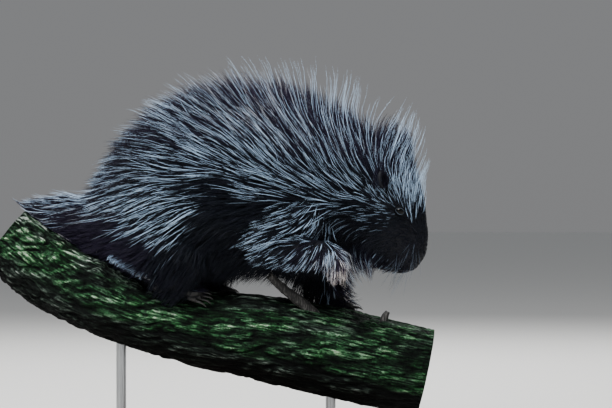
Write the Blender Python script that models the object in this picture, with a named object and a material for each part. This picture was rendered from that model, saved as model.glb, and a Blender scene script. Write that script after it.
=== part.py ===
"""A life-size North American porcupine walking down a limb, as a still museum model.

Run with: blender --background --python part.py

Metres, +Z up. The animal faces +X and its right side faces -Y. The origin is the centre of the
underside of the display base. The body is one row of cross-sections from the tail's tip to the
nose, parted where a person would name its pieces. The long coat is built as flat, tapered locks
and the erect guard hairs of the back as thin spines, both set in rows that follow the lie of the
coat.
"""

import math
import random

import bmesh
import bpy
from mathutils import Vector
from mathutils.bvhtree import BVHTree

GAP = 0.0003
SEED = 14
SIDE = Vector((0.0, 1.0, 0.0))

# Display base and the two rods that carry the limb
BASE_LENGTH = 0.520
BASE_WIDTH = 0.250
BASE_HEIGHT = 0.020
BASE_EDGE = 0.004
ROD_RADIUS = 0.008
ROD_PLACES = (-0.150, 0.185)

# The limb: centre line (x, z) and radius, thick at the low end
LIMB = (
    (-0.336, 0.330, 0.054),
    (-0.274, 0.283, 0.058),
    (-0.197, 0.241, 0.058),
    (-0.112, 0.207, 0.055),
    (-0.020, 0.184, 0.060),
    (0.070, 0.171, 0.067),
    (0.136, 0.158, 0.070),
    (0.200, 0.144, 0.071),
    (0.290, 0.124, 0.070),
    (0.336, 0.114, 0.069),
)
BARK_RELIEF = 0.0022

# The snapped side twig: foot, bend and tip, with a radius at each
TWIG = (
    ((0.166, -0.030, 0.200), 0.0105),
    ((0.140, -0.034, 0.226), 0.0088),
    ((0.108, -0.046, 0.252), 0.0072),
    ((0.088, -0.054, 0.271), 0.0055),
)

# The body, tail to nose. Each row: top outline (x, z), bottom outline (x, z) and half width of
# the bare body, how deep the core of the coat lies over it on top, at the sides and below, and
# how much narrower the top of the section is than its foot.
BODY = (
    ((-0.300, 0.374), (-0.296, 0.364), 0.006, 0.003, 0.003, 0.003, 0.00),
    ((-0.272, 0.388), (-0.262, 0.346), 0.017, 0.008, 0.008, 0.008, 0.00),
    ((-0.235, 0.393), (-0.222, 0.326), 0.026, 0.010, 0.010, 0.010, 0.00),
    ((-0.195, 0.393), (-0.176, 0.306), 0.036, 0.013, 0.012, 0.010, 0.05),
    ((-0.165, 0.407), (-0.149, 0.301), 0.054, 0.018, 0.014, 0.010, 0.08),
    ((-0.139, 0.442), (-0.126, 0.292), 0.073, 0.024, 0.016, 0.008, 0.10),
    ((-0.104, 0.482), (-0.096, 0.287), 0.088, 0.026, 0.016, 0.006, 0.12),
    ((-0.048, 0.517), (-0.043, 0.286), 0.096, 0.028, 0.015, 0.006, 0.14),
    ((0.016, 0.533), (0.016, 0.286), 0.097, 0.029, 0.014, 0.006, 0.14),
    ((0.080, 0.533), (0.075, 0.289), 0.091, 0.030, 0.014, 0.006, 0.14),
    ((0.141, 0.520), (0.128, 0.292), 0.082, 0.030, 0.014, 0.006, 0.12),
    ((0.192, 0.498), (0.176, 0.298), 0.071, 0.030, 0.014, 0.007, 0.08),
    ((0.229, 0.479), (0.204, 0.305), 0.060, 0.028, 0.013, 0.008, 0.04),
    ((0.258, 0.464), (0.220, 0.308), 0.052, 0.024, 0.011, 0.007, 0.04),
    ((0.289, 0.446), (0.231, 0.305), 0.047, 0.017, 0.009, 0.005, 0.08),
    ((0.314, 0.419), (0.241, 0.297), 0.044, 0.009, 0.005, 0.004, 0.14),
    ((0.328, 0.394), (0.248, 0.292), 0.040, 0.003, 0.003, 0.003, 0.18),
    ((0.335, 0.368), (0.258, 0.288), 0.034, 0.001, 0.001, 0.001, 0.16),
    ((0.339, 0.343), (0.268, 0.285), 0.029, 0.001, 0.001, 0.001, 0.10),
    ((0.339, 0.322), (0.279, 0.281), 0.0255, 0.001, 0.001, 0.001, 0.04),
    ((0.334, 0.301), (0.288, 0.277), 0.0215, 0.001, 0.001, 0.001, 0.00),
    ((0.323, 0.285), (0.300, 0.275), 0.0140, 0.0005, 0.0005, 0.0005, 0.00),
    ((0.316, 0.279), (0.308, 0.276), 0.0050, 0.0, 0.0, 0.0, 0.00),
)
TAIL_END = 3.5
TORSO_END = 11.5
NECK_END = 13.0
NOSE_END = 22.0

# How finely each form is cut: rings along it and sides round it
TAIL_MESH = (7, 14)
TORSO_MESH = (12, 20)
NECK_MESH = (4, 20)
HEAD_MESH = (18, 18)
LEG_MESH = (8, 12)
ARM_MESH = (6, 12)
FOREARM_MESH = (7, 12)
PAD_MESH = (7, 10)
DIGIT_MESH = (6, 5)
LID_MESH = (6, 4)
MOUTH_MESH = (6, 3)
LIMB_MESH = (20, 16)
TWIG_MESH = (7, 8)
ROD_MESH = (2, 20)

# Coat: apparent direction in the side view (degrees from forward, turning up), least rise off
# the body in degrees, and hair length, at places (x, z) of the side view
LIE = (
    (0.334, 0.407, 104, 14, 0.030),
    (0.304, 0.407, 112, 13, 0.036),
    (0.300, 0.447, 84, 24, 0.044),
    (0.288, 0.471, 68, 34, 0.060),
    (0.272, 0.527, 58, 45, 0.080),
    (0.216, 0.551, 74, 50, 0.080),
    (0.168, 0.575, 88, 48, 0.072),
    (0.120, 0.583, 102, 42, 0.062),
    (0.056, 0.583, 120, 36, 0.058),
    (-0.024, 0.570, 138, 30, 0.060),
    (-0.088, 0.538, 152, 26, 0.056),
    (-0.128, 0.495, 170, 22, 0.056),
    (-0.165, 0.447, 184, 20, 0.052),
    (0.216, 0.495, 104, 26, 0.090),
    (0.184, 0.463, 120, 22, 0.090),
    (0.120, 0.471, 131, 22, 0.090),
    (0.056, 0.479, 140, 21, 0.090),
    (-0.024, 0.479, 152, 20, 0.085),
    (-0.088, 0.455, 165, 18, 0.080),
    (0.200, 0.415, 150, 20, 0.074),
    (0.136, 0.415, 156, 20, 0.084),
    (0.056, 0.407, 168, 20, 0.084),
    (-0.024, 0.407, 187, 19, 0.084),
    (-0.104, 0.391, 200, 16, 0.076),
    (-0.168, 0.375, 198, 14, 0.060),
    (-0.248, 0.383, 187, 12, 0.055),
    (0.056, 0.367, 186, 15, 0.070),
    (-0.024, 0.343, 214, 15, 0.070),
    (-0.104, 0.335, 207, 15, 0.075),
    (-0.072, 0.292, 236, 15, 0.046),
    (-0.080, 0.262, 236, 13, 0.026),
    (-0.016, 0.303, 240, 15, 0.050),
    (-0.152, 0.319, 197, 14, 0.060),
    (0.152, 0.367, 195, 15, 0.060),
    (0.104, 0.343, 205, 16, 0.060),
    (0.168, 0.327, 225, 16, 0.050),
    (0.200, 0.292, 270, 18, 0.040),
    (0.216, 0.383, 178, 18, 0.060),
    (0.264, 0.415, 128, 16, 0.044),
    (0.256, 0.367, 170, 14, 0.040),
    (0.256, 0.327, 195, 11, 0.034),
    (0.216, 0.262, 306, 34, 0.046),
    (0.152, 0.255, 262, 15, 0.040),
    (-0.208, 0.335, 190, 10, 0.045),
)

# Head: eye, lids, ear, nostril and mouth, each placed on the section row that carries it
EYE_ROW = 15.35
EYE_ANGLE = 70.0
EYE_RADIUS = 0.0072
EYE_DEPTH = 0.0036
LID_RADIUS = 0.0076
LID_THICKNESS = 0.0015
EAR_ROW = 13.7
EAR_ANGLE = 62.0
EAR_HEIGHT = 0.030
EAR_WIDTH = 0.024
EAR_THICKNESS = 0.009
NOSTRIL_ROW = 19.6
NOSTRIL_ANGLE = 24.0
NOSTRIL_SIZE = 0.0034
CHIN_CENTRE = (0.272, 0.0, 0.290)
CHIN_SIZE = (0.019, 0.015, 0.012)
MOUTH_LINE = ((20.7, 178), (20.1, 166), (19.3, 146), (18.5, 124), (18.0, 112))
MOUTH_DEPTH = 0.0016
MOUTH_WIDTH = 0.0011

# Legs: tubes of (x, y, z), half depth along the body and half width. y is given for the left.
HIND_LEG = (
    ((-0.088, 0.030, 0.372), 0.054, 0.050),
    ((-0.070, 0.050, 0.334), 0.060, 0.044),
    ((-0.056, 0.058, 0.302), 0.050, 0.037),
    ((-0.060, 0.054, 0.274), 0.036, 0.028),
    ((-0.074, 0.042, 0.250), 0.024, 0.021),
)
FAR_HIND_SHIFT = 0.046
LIMB_SLOPE = 0.12
FORE_LEG_PLANTED = (
    ((0.170, 0.040, 0.372), 0.044, 0.034),
    ((0.166, 0.056, 0.322), 0.040, 0.030),
    ((0.168, 0.056, 0.280), 0.035, 0.027),
    ((0.182, 0.048, 0.249), 0.027, 0.022),
    ((0.196, 0.040, 0.224), 0.018, 0.017),
)
UPPER_ARM_RAISED = (
    ((0.168, -0.046, 0.386), 0.044, 0.034),
    ((0.128, -0.068, 0.354), 0.040, 0.030),
    ((0.090, -0.080, 0.332), 0.030, 0.026),
    ((0.070, -0.083, 0.322), 0.016, 0.015),
)
FOREARM_RAISED = (
    ((0.066, -0.083, 0.322), 0.013, 0.014),
    ((0.088, -0.085, 0.315), 0.023, 0.023),
    ((0.130, -0.087, 0.311), 0.023, 0.022),
    ((0.168, -0.086, 0.311), 0.019, 0.018),
    ((0.186, -0.085, 0.306), 0.015, 0.015),
)
WRIST_TO_HEEL = (-0.004, 0.0, 0.003)
PAW_HANGS = (0.52, 0.02, -0.85)
PAW_BACK = (0.85, -0.10, 0.52)

# Feet: the hind foot is long, the forefoot short. The claws are long and curved.
HIND_SOLE = 0.088
FORE_SOLE = 0.052
HIND_FOOT_X = -0.098
FORE_FOOT_X = 0.170
FOOT_OFF_CENTRE = 0.033
FOOT_HALF_HEIGHT = 0.0125
FOOT_HALF_WIDTH = 0.0185
TOE_RADIUS = 0.0052
TOE_LENGTH = 0.017
CLAW_RADIUS = 0.0024
CLAW_LENGTH = 0.019
HIND_TOES = 5
FORE_TOES = 4
RAISED_SOLE_SHARE = 0.72
TOE_SPREAD = 0.28

# Locks. Depth of the root, width and thickness each have a least value and a share of the
# lock's length. LOCK_SHARES gives the places of its rings and their share of the full width, and
# LOCK_EASE how far its lift eases off towards the tip. A lock that meets a neighbour is tried
# again, shorter or raised, as LOCK_TRIES says.
ROOT_LEAST_DEPTH = 0.0045
ROOT_DEPTH = 0.070
LOCK_SHARES = ((0.0, 0.60), (0.38, 1.00), (0.76, 0.72))
LOCK_EASE = 0.40
LOCK_LEAST_WIDTH = 0.002
LOCK_WIDTH = 0.46
LOCK_LEAST_THICKNESS = 0.0012
LOCK_THICKNESS = 0.060
LOCK_FULLNESS = 1.6
SPINE_WIDTH = 0.0030
SPINE_THICKNESS = 0.0024
LOCK_TRIES = ((1, 1), (1, 1.35), (1, 1.8), (0.75, 1.3), (0.55, 1.3))
STEEPEST = math.radians(80)
LENGTH_SPREAD = 0.14
PLACE_SPREAD = 0.20
CLEARANCE = 0.0006

# Where locks stand: shape rows from and to, furthest angle from the top, spacing along and
# round, and a factor on their length
TORSO_LOCKS = (3.9, 11.3, 150, 0.047, 0.041, 1.05)
NECK_LOCKS = (11.75, 12.80, 150, 0.030, 0.034, 1.12)
CROWN_LOCKS = (13.15, 15.6, 54, 0.019, 0.021, 1.00)
CHEEK_LOCKS = (13.15, 14.9, 140, 0.024, 0.024, 0.90)
TAIL_LOCKS = (0.9, 3.2, 180, 0.042, 0.033, 0.80)
LEG_LOCKS_START = 0.6
LEG_LOCKS_END = 0.95
LEG_SPACING = (0.032, 0.032, 0.72)
TORSO_SPINES = (4.6, 11.2, 55, 0.060, 0.038, 1.00)
NECK_SPINES = (11.8, 12.75, 50, 0.034, 0.034, 1.00)

FINISHES = {
    "coat": ((0.030, 0.034, 0.043), 0.62, 0.0),
    "naked_skin": ((0.020, 0.019, 0.020), 0.55, 0.0),
    "claw": ((0.055, 0.045, 0.038), 0.35, 0.0),
    "eye": ((0.006, 0.005, 0.005), 0.08, 0.0),
    "bark": ((0.072, 0.074, 0.052), 0.90, 0.0),
    "base_wood": ((0.060, 0.028, 0.014), 0.35, 0.0),
    "rod_steel": ((0.12, 0.12, 0.125), 0.38, 1.0),
}


def clear_scene():
    for obj in list(bpy.data.objects):
        bpy.data.objects.remove(obj)


def material(name, kind):
    colour, roughness, metallic = FINISHES[kind]
    made = bpy.data.materials.new(name)
    made.use_nodes = True
    shader = made.node_tree.nodes["Principled BSDF"]
    shader.inputs["Base Color"].default_value = (*colour, 1.0)
    shader.inputs["Roughness"].default_value = roughness
    shader.inputs["Metallic"].default_value = metallic
    return made


def mesh_object(name, points, faces, collection=None):
    mesh = bpy.data.meshes.new(name)
    mesh.from_pydata([tuple(p) for p in points], [], faces)
    obj = bpy.data.objects.new(name, mesh)
    (collection or bpy.context.scene.collection).objects.link(obj)
    return obj


def apply_modifiers(obj):
    bpy.context.view_layer.update()
    graph = bpy.context.evaluated_depsgraph_get()
    made = bpy.data.meshes.new_from_object(obj.evaluated_get(graph))
    obj.modifiers.clear()
    old = obj.data
    obj.data = made
    bpy.data.meshes.remove(old)


def subtract(obj, cutter, solver="EXACT"):
    modifier = obj.modifiers.new("cut", "BOOLEAN")
    modifier.operation = "DIFFERENCE"
    modifier.object = cutter
    modifier.solver = solver
    apply_modifiers(obj)


def swollen(obj, by=GAP):
    """A hidden copy of obj, grown along its normals, to cut its neighbours with a gap."""
    mesh = obj.data.copy()
    normals = [v.normal.copy() for v in mesh.vertices]
    for vertex, normal in zip(mesh.vertices, normals):
        vertex.co += normal * by
    copy = bpy.data.objects.new(obj.name + "_cutter", mesh)
    bpy.context.scene.collection.objects.link(copy)
    copy.hide_render = True
    copy.display_type = "WIRE"
    return copy


def cut_clear_of(obj, *neighbours):
    for neighbour in neighbours:
        cutter = swollen(neighbour)
        subtract(obj, cutter)
        bpy.data.objects.remove(cutter)
    keep_largest(obj)


def fuse(obj, collection, solver="EXACT"):
    """One Boolean union of obj with every closed piece in the collection."""
    modifier = obj.modifiers.new("join", "BOOLEAN")
    modifier.operation = "UNION"
    modifier.operand_type = "COLLECTION"
    modifier.collection = collection
    modifier.solver = solver
    apply_modifiers(obj)
    for piece in list(collection.objects):
        bpy.data.objects.remove(piece)
    bpy.data.collections.remove(collection)
    keep_largest(obj)


def keep_largest(obj):
    """Keeps the closed surface that holds the most, and drops sealed hollows and scraps."""
    grid = bmesh.new()
    grid.from_mesh(obj.data)
    unseen = set(grid.faces)
    islands = []
    while unseen:
        stack = [unseen.pop()]
        island = []
        while stack:
            face = stack.pop()
            island.append(face)
            for edge in face.edges:
                for other in edge.link_faces:
                    if other in unseen:
                        unseen.remove(other)
                        stack.append(other)
        islands.append(island)
    islands.sort(key=volume_of, reverse=True)
    spare = [face for island in islands[1:] for face in island]
    bmesh.ops.delete(grid, geom=spare, context="FACES")
    bmesh.ops.triangulate(grid, faces=grid.faces)
    grid.to_mesh(obj.data)
    grid.free()


def volume_of(faces):
    total = 0.0
    for face in faces:
        corners = [loop.vert.co for loop in face.loops]
        for second, third in zip(corners[1:], corners[2:]):
            total += corners[0].dot(second.cross(third))
    return total / 6.0


def blend_rows(rows, place):
    """A smooth curve through rows of numbers (Catmull-Rom), read at a real-numbered place."""
    last = len(rows) - 1
    place = min(max(place, 0.0), float(last))
    first = min(int(place), last - 1)
    t = place - first
    before = rows[max(first - 1, 0)]
    start = rows[first]
    end = rows[first + 1]
    after = rows[min(first + 2, last)]
    return [
        0.5 * (2 * b + (c - a) * t + (2 * a - 5 * b + 4 * c - d) * t * t
               + (3 * b - a - 3 * c + d) * t ** 3)
        for a, b, c, d in zip(before, start, end, after)
    ]


class Trunk:
    """The body from tail to nose: rings that each lie in one plane across the side view."""

    rows = [[*top, *foot, *rest] for top, foot, *rest in BODY]

    def ring_point(self, place, angle):
        top_x, top_z, foot_x, foot_z, half_width, over, beside, under, egg = blend_rows(
            self.rows, place
        )
        middle = Vector(((top_x + foot_x) / 2, 0.0, (top_z + foot_z) / 2))
        up = Vector(((top_x - foot_x) / 2, 0.0, (top_z - foot_z) / 2))
        half_height = up.length
        up.normalize()
        c, s = math.cos(angle), math.sin(angle)
        width = half_width * (1 - egg * c)
        coat = beside + ((over if c > 0 else under) - beside) * c * c
        out = (up * (c * width) + SIDE * (s * half_height)).normalized()
        return middle + up * (c * half_height) + SIDE * (s * width) + out * coat

    def across(self, place):
        """The direction along the body, square to the ring's plane."""
        top_x, top_z, foot_x, foot_z, *_ = blend_rows(self.rows, place)
        return Vector((top_z - foot_z, 0.0, foot_x - top_x)).normalized()

    def girth(self, place):
        return girth_of(self, place)


class Limb:
    """A tube through centres with two half sizes: a leg, a toe, the limb of the tree."""

    def __init__(self, stations, relief=0.0):
        self.rows = [[*centre, deep, wide] for centre, deep, wide in stations]
        self.end = len(self.rows) - 1
        self.relief = relief

    def frame(self, place):
        x, y, z, deep, wide = blend_rows(self.rows, place)
        ahead = Vector(blend_rows(self.rows, min(place + 0.05, self.end))[:3])
        behind = Vector(blend_rows(self.rows, max(place - 0.05, 0.0))[:3])
        along = (ahead - behind).normalized()
        wide_axis = (SIDE - along * along.dot(SIDE)).normalized()
        deep_axis = wide_axis.cross(along)
        return Vector((x, y, z)), along, deep_axis, wide_axis, deep, wide

    def ring_point(self, place, angle):
        centre, _, deep_axis, wide_axis, deep, wide = self.frame(place)
        swell = self.relief * bark(place, angle)
        c, s = math.cos(angle), math.sin(angle)
        return centre + deep_axis * (c * (deep + swell)) + wide_axis * (s * (wide + swell))

    def across(self, place):
        return self.frame(place)[1]

    def girth(self, place):
        return girth_of(self, place)


def girth_of(shape, place):
    """The length once round a shape's section."""
    ring = [shape.ring_point(place, math.tau * k / 16) for k in range(16)]
    return sum((a - b).length for a, b in zip(ring, ring[1:] + ring[:1]))


def outward(shape, place, angle):
    """The direction straight out of a shape's surface."""
    step = 0.05
    low, high = max(place - step, 0.0), min(place + step, len(shape.rows) - 1)
    along = shape.ring_point(high, angle) - shape.ring_point(low, angle)
    around = shape.ring_point(place, angle + step) - shape.ring_point(place, angle - step)
    normal = around.cross(along).normalized()
    through = shape.ring_point(place, angle) - shape.ring_point(place, angle + math.pi)
    return normal if normal.dot(through) > 0 else -normal


def bark(place, angle):
    """Lumps and long furrows of the bark, from -1 to 1, along and round the limb."""
    furrow = math.sin(5 * angle + 1.3 * math.sin(0.9 * place))
    lump = math.sin(2 * angle + 1.1 * place) * math.sin(1.7 * place + 0.4)
    knot = math.sin(3 * angle - 2.3 * place)
    return 0.40 * furrow + 0.40 * lump + 0.20 * knot


def skin_over(name, shape, start, end, mesh, collection=None, low_gap=0.0, high_gap=0.0):
    """A closed solid over the rings of a shape. A gap draws an end back along the shape."""
    rings, sides = mesh
    points = []
    for i in range(rings):
        place = start + (end - start) * i / (rings - 1)
        shift = Vector((0, 0, 0))
        if i == 0:
            shift = shape.across(place) * low_gap
        elif i == rings - 1:
            shift = shape.across(place) * -high_gap
        for j in range(sides):
            points.append(shape.ring_point(place, math.tau * j / sides) + shift)
    faces = [list(range(sides))]
    for i in range(rings - 1):
        for j in range(sides):
            a = i * sides + j
            b = i * sides + (j + 1) % sides
            faces.append([a, a + sides, b + sides, b])
    faces.append(list(reversed(range((rings - 1) * sides, rings * sides))))
    obj = mesh_object(name, points, faces, collection)
    face_outward(obj)
    return obj


def face_outward(obj):
    grid = bmesh.new()
    grid.from_mesh(obj.data)
    bmesh.ops.triangulate(grid, faces=grid.faces)
    bmesh.ops.recalc_face_normals(grid, faces=grid.faces)
    if grid.calc_volume(signed=True) < 0:
        bmesh.ops.reverse_faces(grid, faces=grid.faces)
    grid.to_mesh(obj.data)
    grid.free()


def ellipsoid(name, centre, sizes, axes=None, collection=None, detail=2):
    """A closed ball stretched along three axes."""
    grid = bmesh.new()
    bmesh.ops.create_icosphere(grid, subdivisions=detail, radius=1.0)
    first, second, third = axes or (Vector((1, 0, 0)), Vector((0, 1, 0)), Vector((0, 0, 1)))
    for vertex in grid.verts:
        x, y, z = vertex.co
        vertex.co = centre + first * (x * sizes[0]) + second * (y * sizes[1]) + third * (z * sizes[2])
    mesh = bpy.data.meshes.new(name)
    grid.to_mesh(mesh)
    grid.free()
    obj = bpy.data.objects.new(name, mesh)
    (collection or bpy.context.scene.collection).objects.link(obj)
    face_outward(obj)
    return obj


def new_collection(name):
    made = bpy.data.collections.new(name)
    bpy.context.scene.collection.children.link(made)
    return made


def make_limb():
    shape = Limb([((x, 0.0, z), radius, radius) for x, z, radius in LIMB], BARK_RELIEF)
    return skin_over("perch_limb", shape, 0.0, shape.end, LIMB_MESH)


def make_twig(limb):
    shape = Limb([(centre, radius, radius) for centre, radius in TWIG])
    twig = skin_over("perch_twig", shape, 0.0, shape.end, TWIG_MESH)
    cut_clear_of(twig, limb)
    return twig


def make_stand(limb):
    base = mesh_object("stand_base", *box_points(BASE_LENGTH, BASE_WIDTH, BASE_HEIGHT))
    bevel = base.modifiers.new("soft_edge", "BEVEL")
    bevel.width = BASE_EDGE
    bevel.segments = 2
    apply_modifiers(base)
    rods = []
    for number, x in enumerate(ROD_PLACES, 1):
        top = limb_height(x)
        shape = Limb([
            ((x, 0.0, BASE_HEIGHT + GAP), ROD_RADIUS, ROD_RADIUS),
            ((x, 0.0, top), ROD_RADIUS, ROD_RADIUS),
        ])
        rod = skin_over(f"stand_rod_{number}", shape, 0.0, shape.end, ROD_MESH)
        cut_clear_of(rod, limb)
        rods.append(rod)
    return [base, *rods]


def box_points(length, width, height):
    points = [
        (x * length / 2, y * width / 2, z * height)
        for z in (0, 1)
        for y in (-1, 1)
        for x in (-1, 1)
    ]
    faces = [[0, 2, 3, 1], [4, 5, 7, 6], [0, 1, 5, 4], [2, 6, 7, 3], [0, 4, 6, 2], [1, 3, 7, 5]]
    return points, faces


def limb_height(x):
    """Height of the limb's centre line at x."""
    for (x0, z0, _), (x1, z1, _) in zip(LIMB, LIMB[1:]):
        if x0 <= x <= x1:
            return z0 + (z1 - z0) * (x - x0) / (x1 - x0)
    return LIMB[-1][1]


def surface_of(obj):
    return BVHTree.FromObject(obj, bpy.context.evaluated_depsgraph_get())


def drop_on(tree, x, y, top=1.0):
    """The point and normal where a plumb line at (x, y) meets a surface."""
    point, normal, _, _ = tree.ray_cast(Vector((x, y, top)), Vector((0, 0, -1)))
    return point, normal


def clawed_foot(name, heel, forward, up, length, toes):
    """A foot: sole and back of the foot, a fan of toes, and a long curved claw on each."""
    side = up.cross(forward).normalized()
    pad = Limb([
        (heel, FOOT_HALF_HEIGHT * 0.75, FOOT_HALF_WIDTH * 0.6),
        (heel + forward * length * 0.15, FOOT_HALF_HEIGHT, FOOT_HALF_WIDTH * 0.8),
        (heel + forward * length * 0.55, FOOT_HALF_HEIGHT * 0.95, FOOT_HALF_WIDTH),
        (heel + forward * length * 0.80, FOOT_HALF_HEIGHT * 0.75, FOOT_HALF_WIDTH * 0.95),
        (heel + forward * length * 0.88, FOOT_HALF_HEIGHT * 0.35, FOOT_HALF_WIDTH * 0.5),
    ])
    foot = skin_over(name, pad, 0.0, pad.end, PAD_MESH)
    pieces = new_collection(name + "_toes")
    for toe in range(toes):
        share = toe / (toes - 1) * 2 - 1
        start = heel + forward * length * (0.72 - 0.06 * share * share)
        start += side * share * FOOT_HALF_WIDTH * 0.76 - up * FOOT_HALF_HEIGHT * 0.25
        ahead = (forward + side * share * TOE_SPREAD).normalized()
        reach = TOE_LENGTH * (1 - 0.18 * abs(share))
        knuckle = start + ahead * reach * 0.6 + up * TOE_RADIUS * 0.25
        tip = start + ahead * reach - up * TOE_RADIUS * 0.2
        digit = Limb([
            (start, TOE_RADIUS * 0.8, TOE_RADIUS * 0.8),
            (knuckle, TOE_RADIUS, TOE_RADIUS * 0.92),
            (tip, TOE_RADIUS * 0.72, TOE_RADIUS * 0.70),
            (tip + ahead * CLAW_LENGTH * 0.16, CLAW_RADIUS, CLAW_RADIUS * 0.8),
            (tip + ahead * CLAW_LENGTH * 0.62 - up * CLAW_LENGTH * 0.02,
             CLAW_RADIUS * 0.75, CLAW_RADIUS * 0.6),
            (tip + ahead * CLAW_LENGTH - up * CLAW_LENGTH * 0.26,
             CLAW_RADIUS * 0.16, CLAW_RADIUS * 0.16),
        ])
        skin_over(f"{name}_digit_{toe}", digit, 0.0, digit.end, DIGIT_MESH, pieces)
    fuse(foot, pieces)
    return foot


def planted_foot(name, x, side, length, toes, limb, leg):
    """A foot flat on the limb, turned with the slope and the roundness of the bark."""
    bark_surface = surface_of(limb)
    y = FOOT_OFF_CENTRE * side
    heel, _ = drop_on(bark_surface, x, y)
    ball, normal = drop_on(bark_surface, x + length, y * 0.98)
    _, middle_normal = drop_on(bark_surface, x + length / 2, y)
    forward = (ball - heel).normalized()
    up = (normal + middle_normal).normalized()
    up = (up - forward * up.dot(forward)).normalized()
    foot = clawed_foot(name, heel + up * FOOT_HALF_HEIGHT * 0.80, forward, up, length, toes)
    cut_clear_of(foot, limb)
    cut_clear_of(foot, leg)
    return foot


def make_hind_leg(side, name, shift, torso, limb):
    """A bent hind leg with its long flat foot, moved along the limb by shift."""
    shape = Limb([
        ((x + shift, y * side, z - shift * LIMB_SLOPE), deep, wide)
        for (x, y, z), deep, wide in HIND_LEG
    ])
    leg = skin_over(f"hind_leg_{name}", shape, 0.0, shape.end, LEG_MESH)
    cut_clear_of(leg, torso, limb)
    foot = planted_foot(f"hind_foot_{name}", HIND_FOOT_X + shift, side, HIND_SOLE, HIND_TOES,
                        limb, leg)
    return leg, foot, [shape]


def make_planted_fore_leg(torso, neck, limb):
    """The left foreleg, which carries the front of the body."""
    shape = Limb(FORE_LEG_PLANTED)
    leg = skin_over("fore_leg_left", shape, 0.0, shape.end, LEG_MESH)
    cut_clear_of(leg, torso, neck, limb)
    foot = planted_foot("fore_foot_left", FORE_FOOT_X, 1, FORE_SOLE, FORE_TOES, limb, leg)
    return leg, foot, [shape]


def make_raised_fore_leg(torso, neck):
    """The right foreleg, folded at the elbow and reaching forward with its paw hanging."""
    upper_shape = Limb(UPPER_ARM_RAISED)
    leg = skin_over("fore_leg_right", upper_shape, 0.0, upper_shape.end, ARM_MESH)
    pieces = new_collection("forearm")
    lower_shape = Limb(FOREARM_RAISED)
    skin_over("forearm", lower_shape, 0.0, lower_shape.end, FOREARM_MESH, pieces)
    fuse(leg, pieces)
    cut_clear_of(leg, torso, neck)
    wrist = Vector(FOREARM_RAISED[-1][0]) + Vector(WRIST_TO_HEEL)
    hanging = Vector(PAW_HANGS).normalized()
    back_of_paw = Vector(PAW_BACK)
    back_of_paw = (back_of_paw - hanging * back_of_paw.dot(hanging)).normalized()
    paw = clawed_foot("fore_foot_right", wrist, hanging, back_of_paw,
                      FORE_SOLE * RAISED_SOLE_SHARE, FORE_TOES)
    cut_clear_of(paw, leg)
    return leg, paw, [upper_shape, lower_shape]


def place_on_trunk(trunk, row, angle_degrees, side):
    angle = math.radians(angle_degrees) * side
    return trunk.ring_point(row, angle), outward(trunk, row, angle)


def make_eye(trunk, side, name):
    point, normal = place_on_trunk(trunk, EYE_ROW, EYE_ANGLE, side)
    centre = point - normal * EYE_DEPTH
    return ellipsoid(name, centre, (EYE_RADIUS,) * 3), centre, normal


def make_lids(head_pieces, centre, normal, side):
    """Upper and lower lid: two arched rolls that frame the eye."""
    forward = Vector((0.62, 0.0, -0.78))
    forward = (forward - normal * forward.dot(normal)).normalized()
    up = normal.cross(forward) * side
    for name, lift, sag in (("upper", 1.0, 0.72), ("lower", -1.0, 0.66)):
        stations = []
        for step in range(7):
            turn = math.pi * (step / 6) * 1.08 - 0.04 * math.pi
            along, across = math.cos(turn), math.sin(turn)
            spot = centre + forward * (along * LID_RADIUS * 1.12) + up * (
                lift * across * LID_RADIUS * sag)
            spot += normal * (EYE_RADIUS * 0.52 * (0.55 + 0.45 * across))
            roll = LID_THICKNESS * (0.7 + 0.5 * across)
            stations.append((spot, roll, roll))
        shape = Limb(stations)
        skin_over(f"lid_{name}_{side}", shape, 0.0, shape.end, LID_MESH, head_pieces)


def make_ear(trunk, side, name, neighbours):
    """A small round cup of an ear, sunk in the coat and open to the front and side."""
    point, normal = place_on_trunk(trunk, EAR_ROW, EAR_ANGLE, side)
    up = Vector((-0.30, 0.0, 0.95))
    up = (up - normal * up.dot(normal) * 0.35 + normal * 0.35).normalized()
    facing = (normal * 0.75 + Vector((0.65, 0.0, 0.0))).normalized()
    facing = (facing - up * facing.dot(up)).normalized()
    breadth = up.cross(facing)
    centre = point + up * EAR_HEIGHT * 0.24
    shell = ellipsoid(name, centre, (EAR_WIDTH / 2, EAR_THICKNESS / 2 * 1.5, EAR_HEIGHT / 2),
                      (breadth, facing, up))
    cup = ellipsoid(name + "_cup", centre + facing * EAR_THICKNESS * 0.62 + up * 0.001,
                    (EAR_WIDTH * 0.36, EAR_THICKNESS * 0.72, EAR_HEIGHT * 0.38),
                    (breadth, facing, up))
    subtract(shell, cup)
    bpy.data.objects.remove(cup)
    cut_clear_of(shell, *neighbours)
    return shell


def carve_face(head, trunk):
    """Nostrils and the line of the mouth."""
    for side in (-1, 1):
        point, normal = place_on_trunk(trunk, NOSTRIL_ROW, NOSTRIL_ANGLE, side)
        along = Vector((0.25, 0.35 * side, -0.9)).normalized()
        along = (along - normal * along.dot(normal)).normalized()
        across = normal.cross(along)
        hole = ellipsoid("nostril", point, (NOSTRIL_SIZE, NOSTRIL_SIZE * 0.5, NOSTRIL_SIZE),
                         (along, across, normal), detail=1)
        subtract(head, hole)
        bpy.data.objects.remove(hole)
        stations = []
        for place, angle in MOUTH_LINE:
            spot, _ = place_on_trunk(trunk, place, angle, side)
            stations.append((spot, MOUTH_DEPTH, MOUTH_WIDTH))
        groove_shape = Limb(stations)
        groove = skin_over("mouth_line", groove_shape, 0.0, groove_shape.end, MOUTH_MESH)
        subtract(head, groove)
        bpy.data.objects.remove(groove)
    keep_largest(head)


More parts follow.
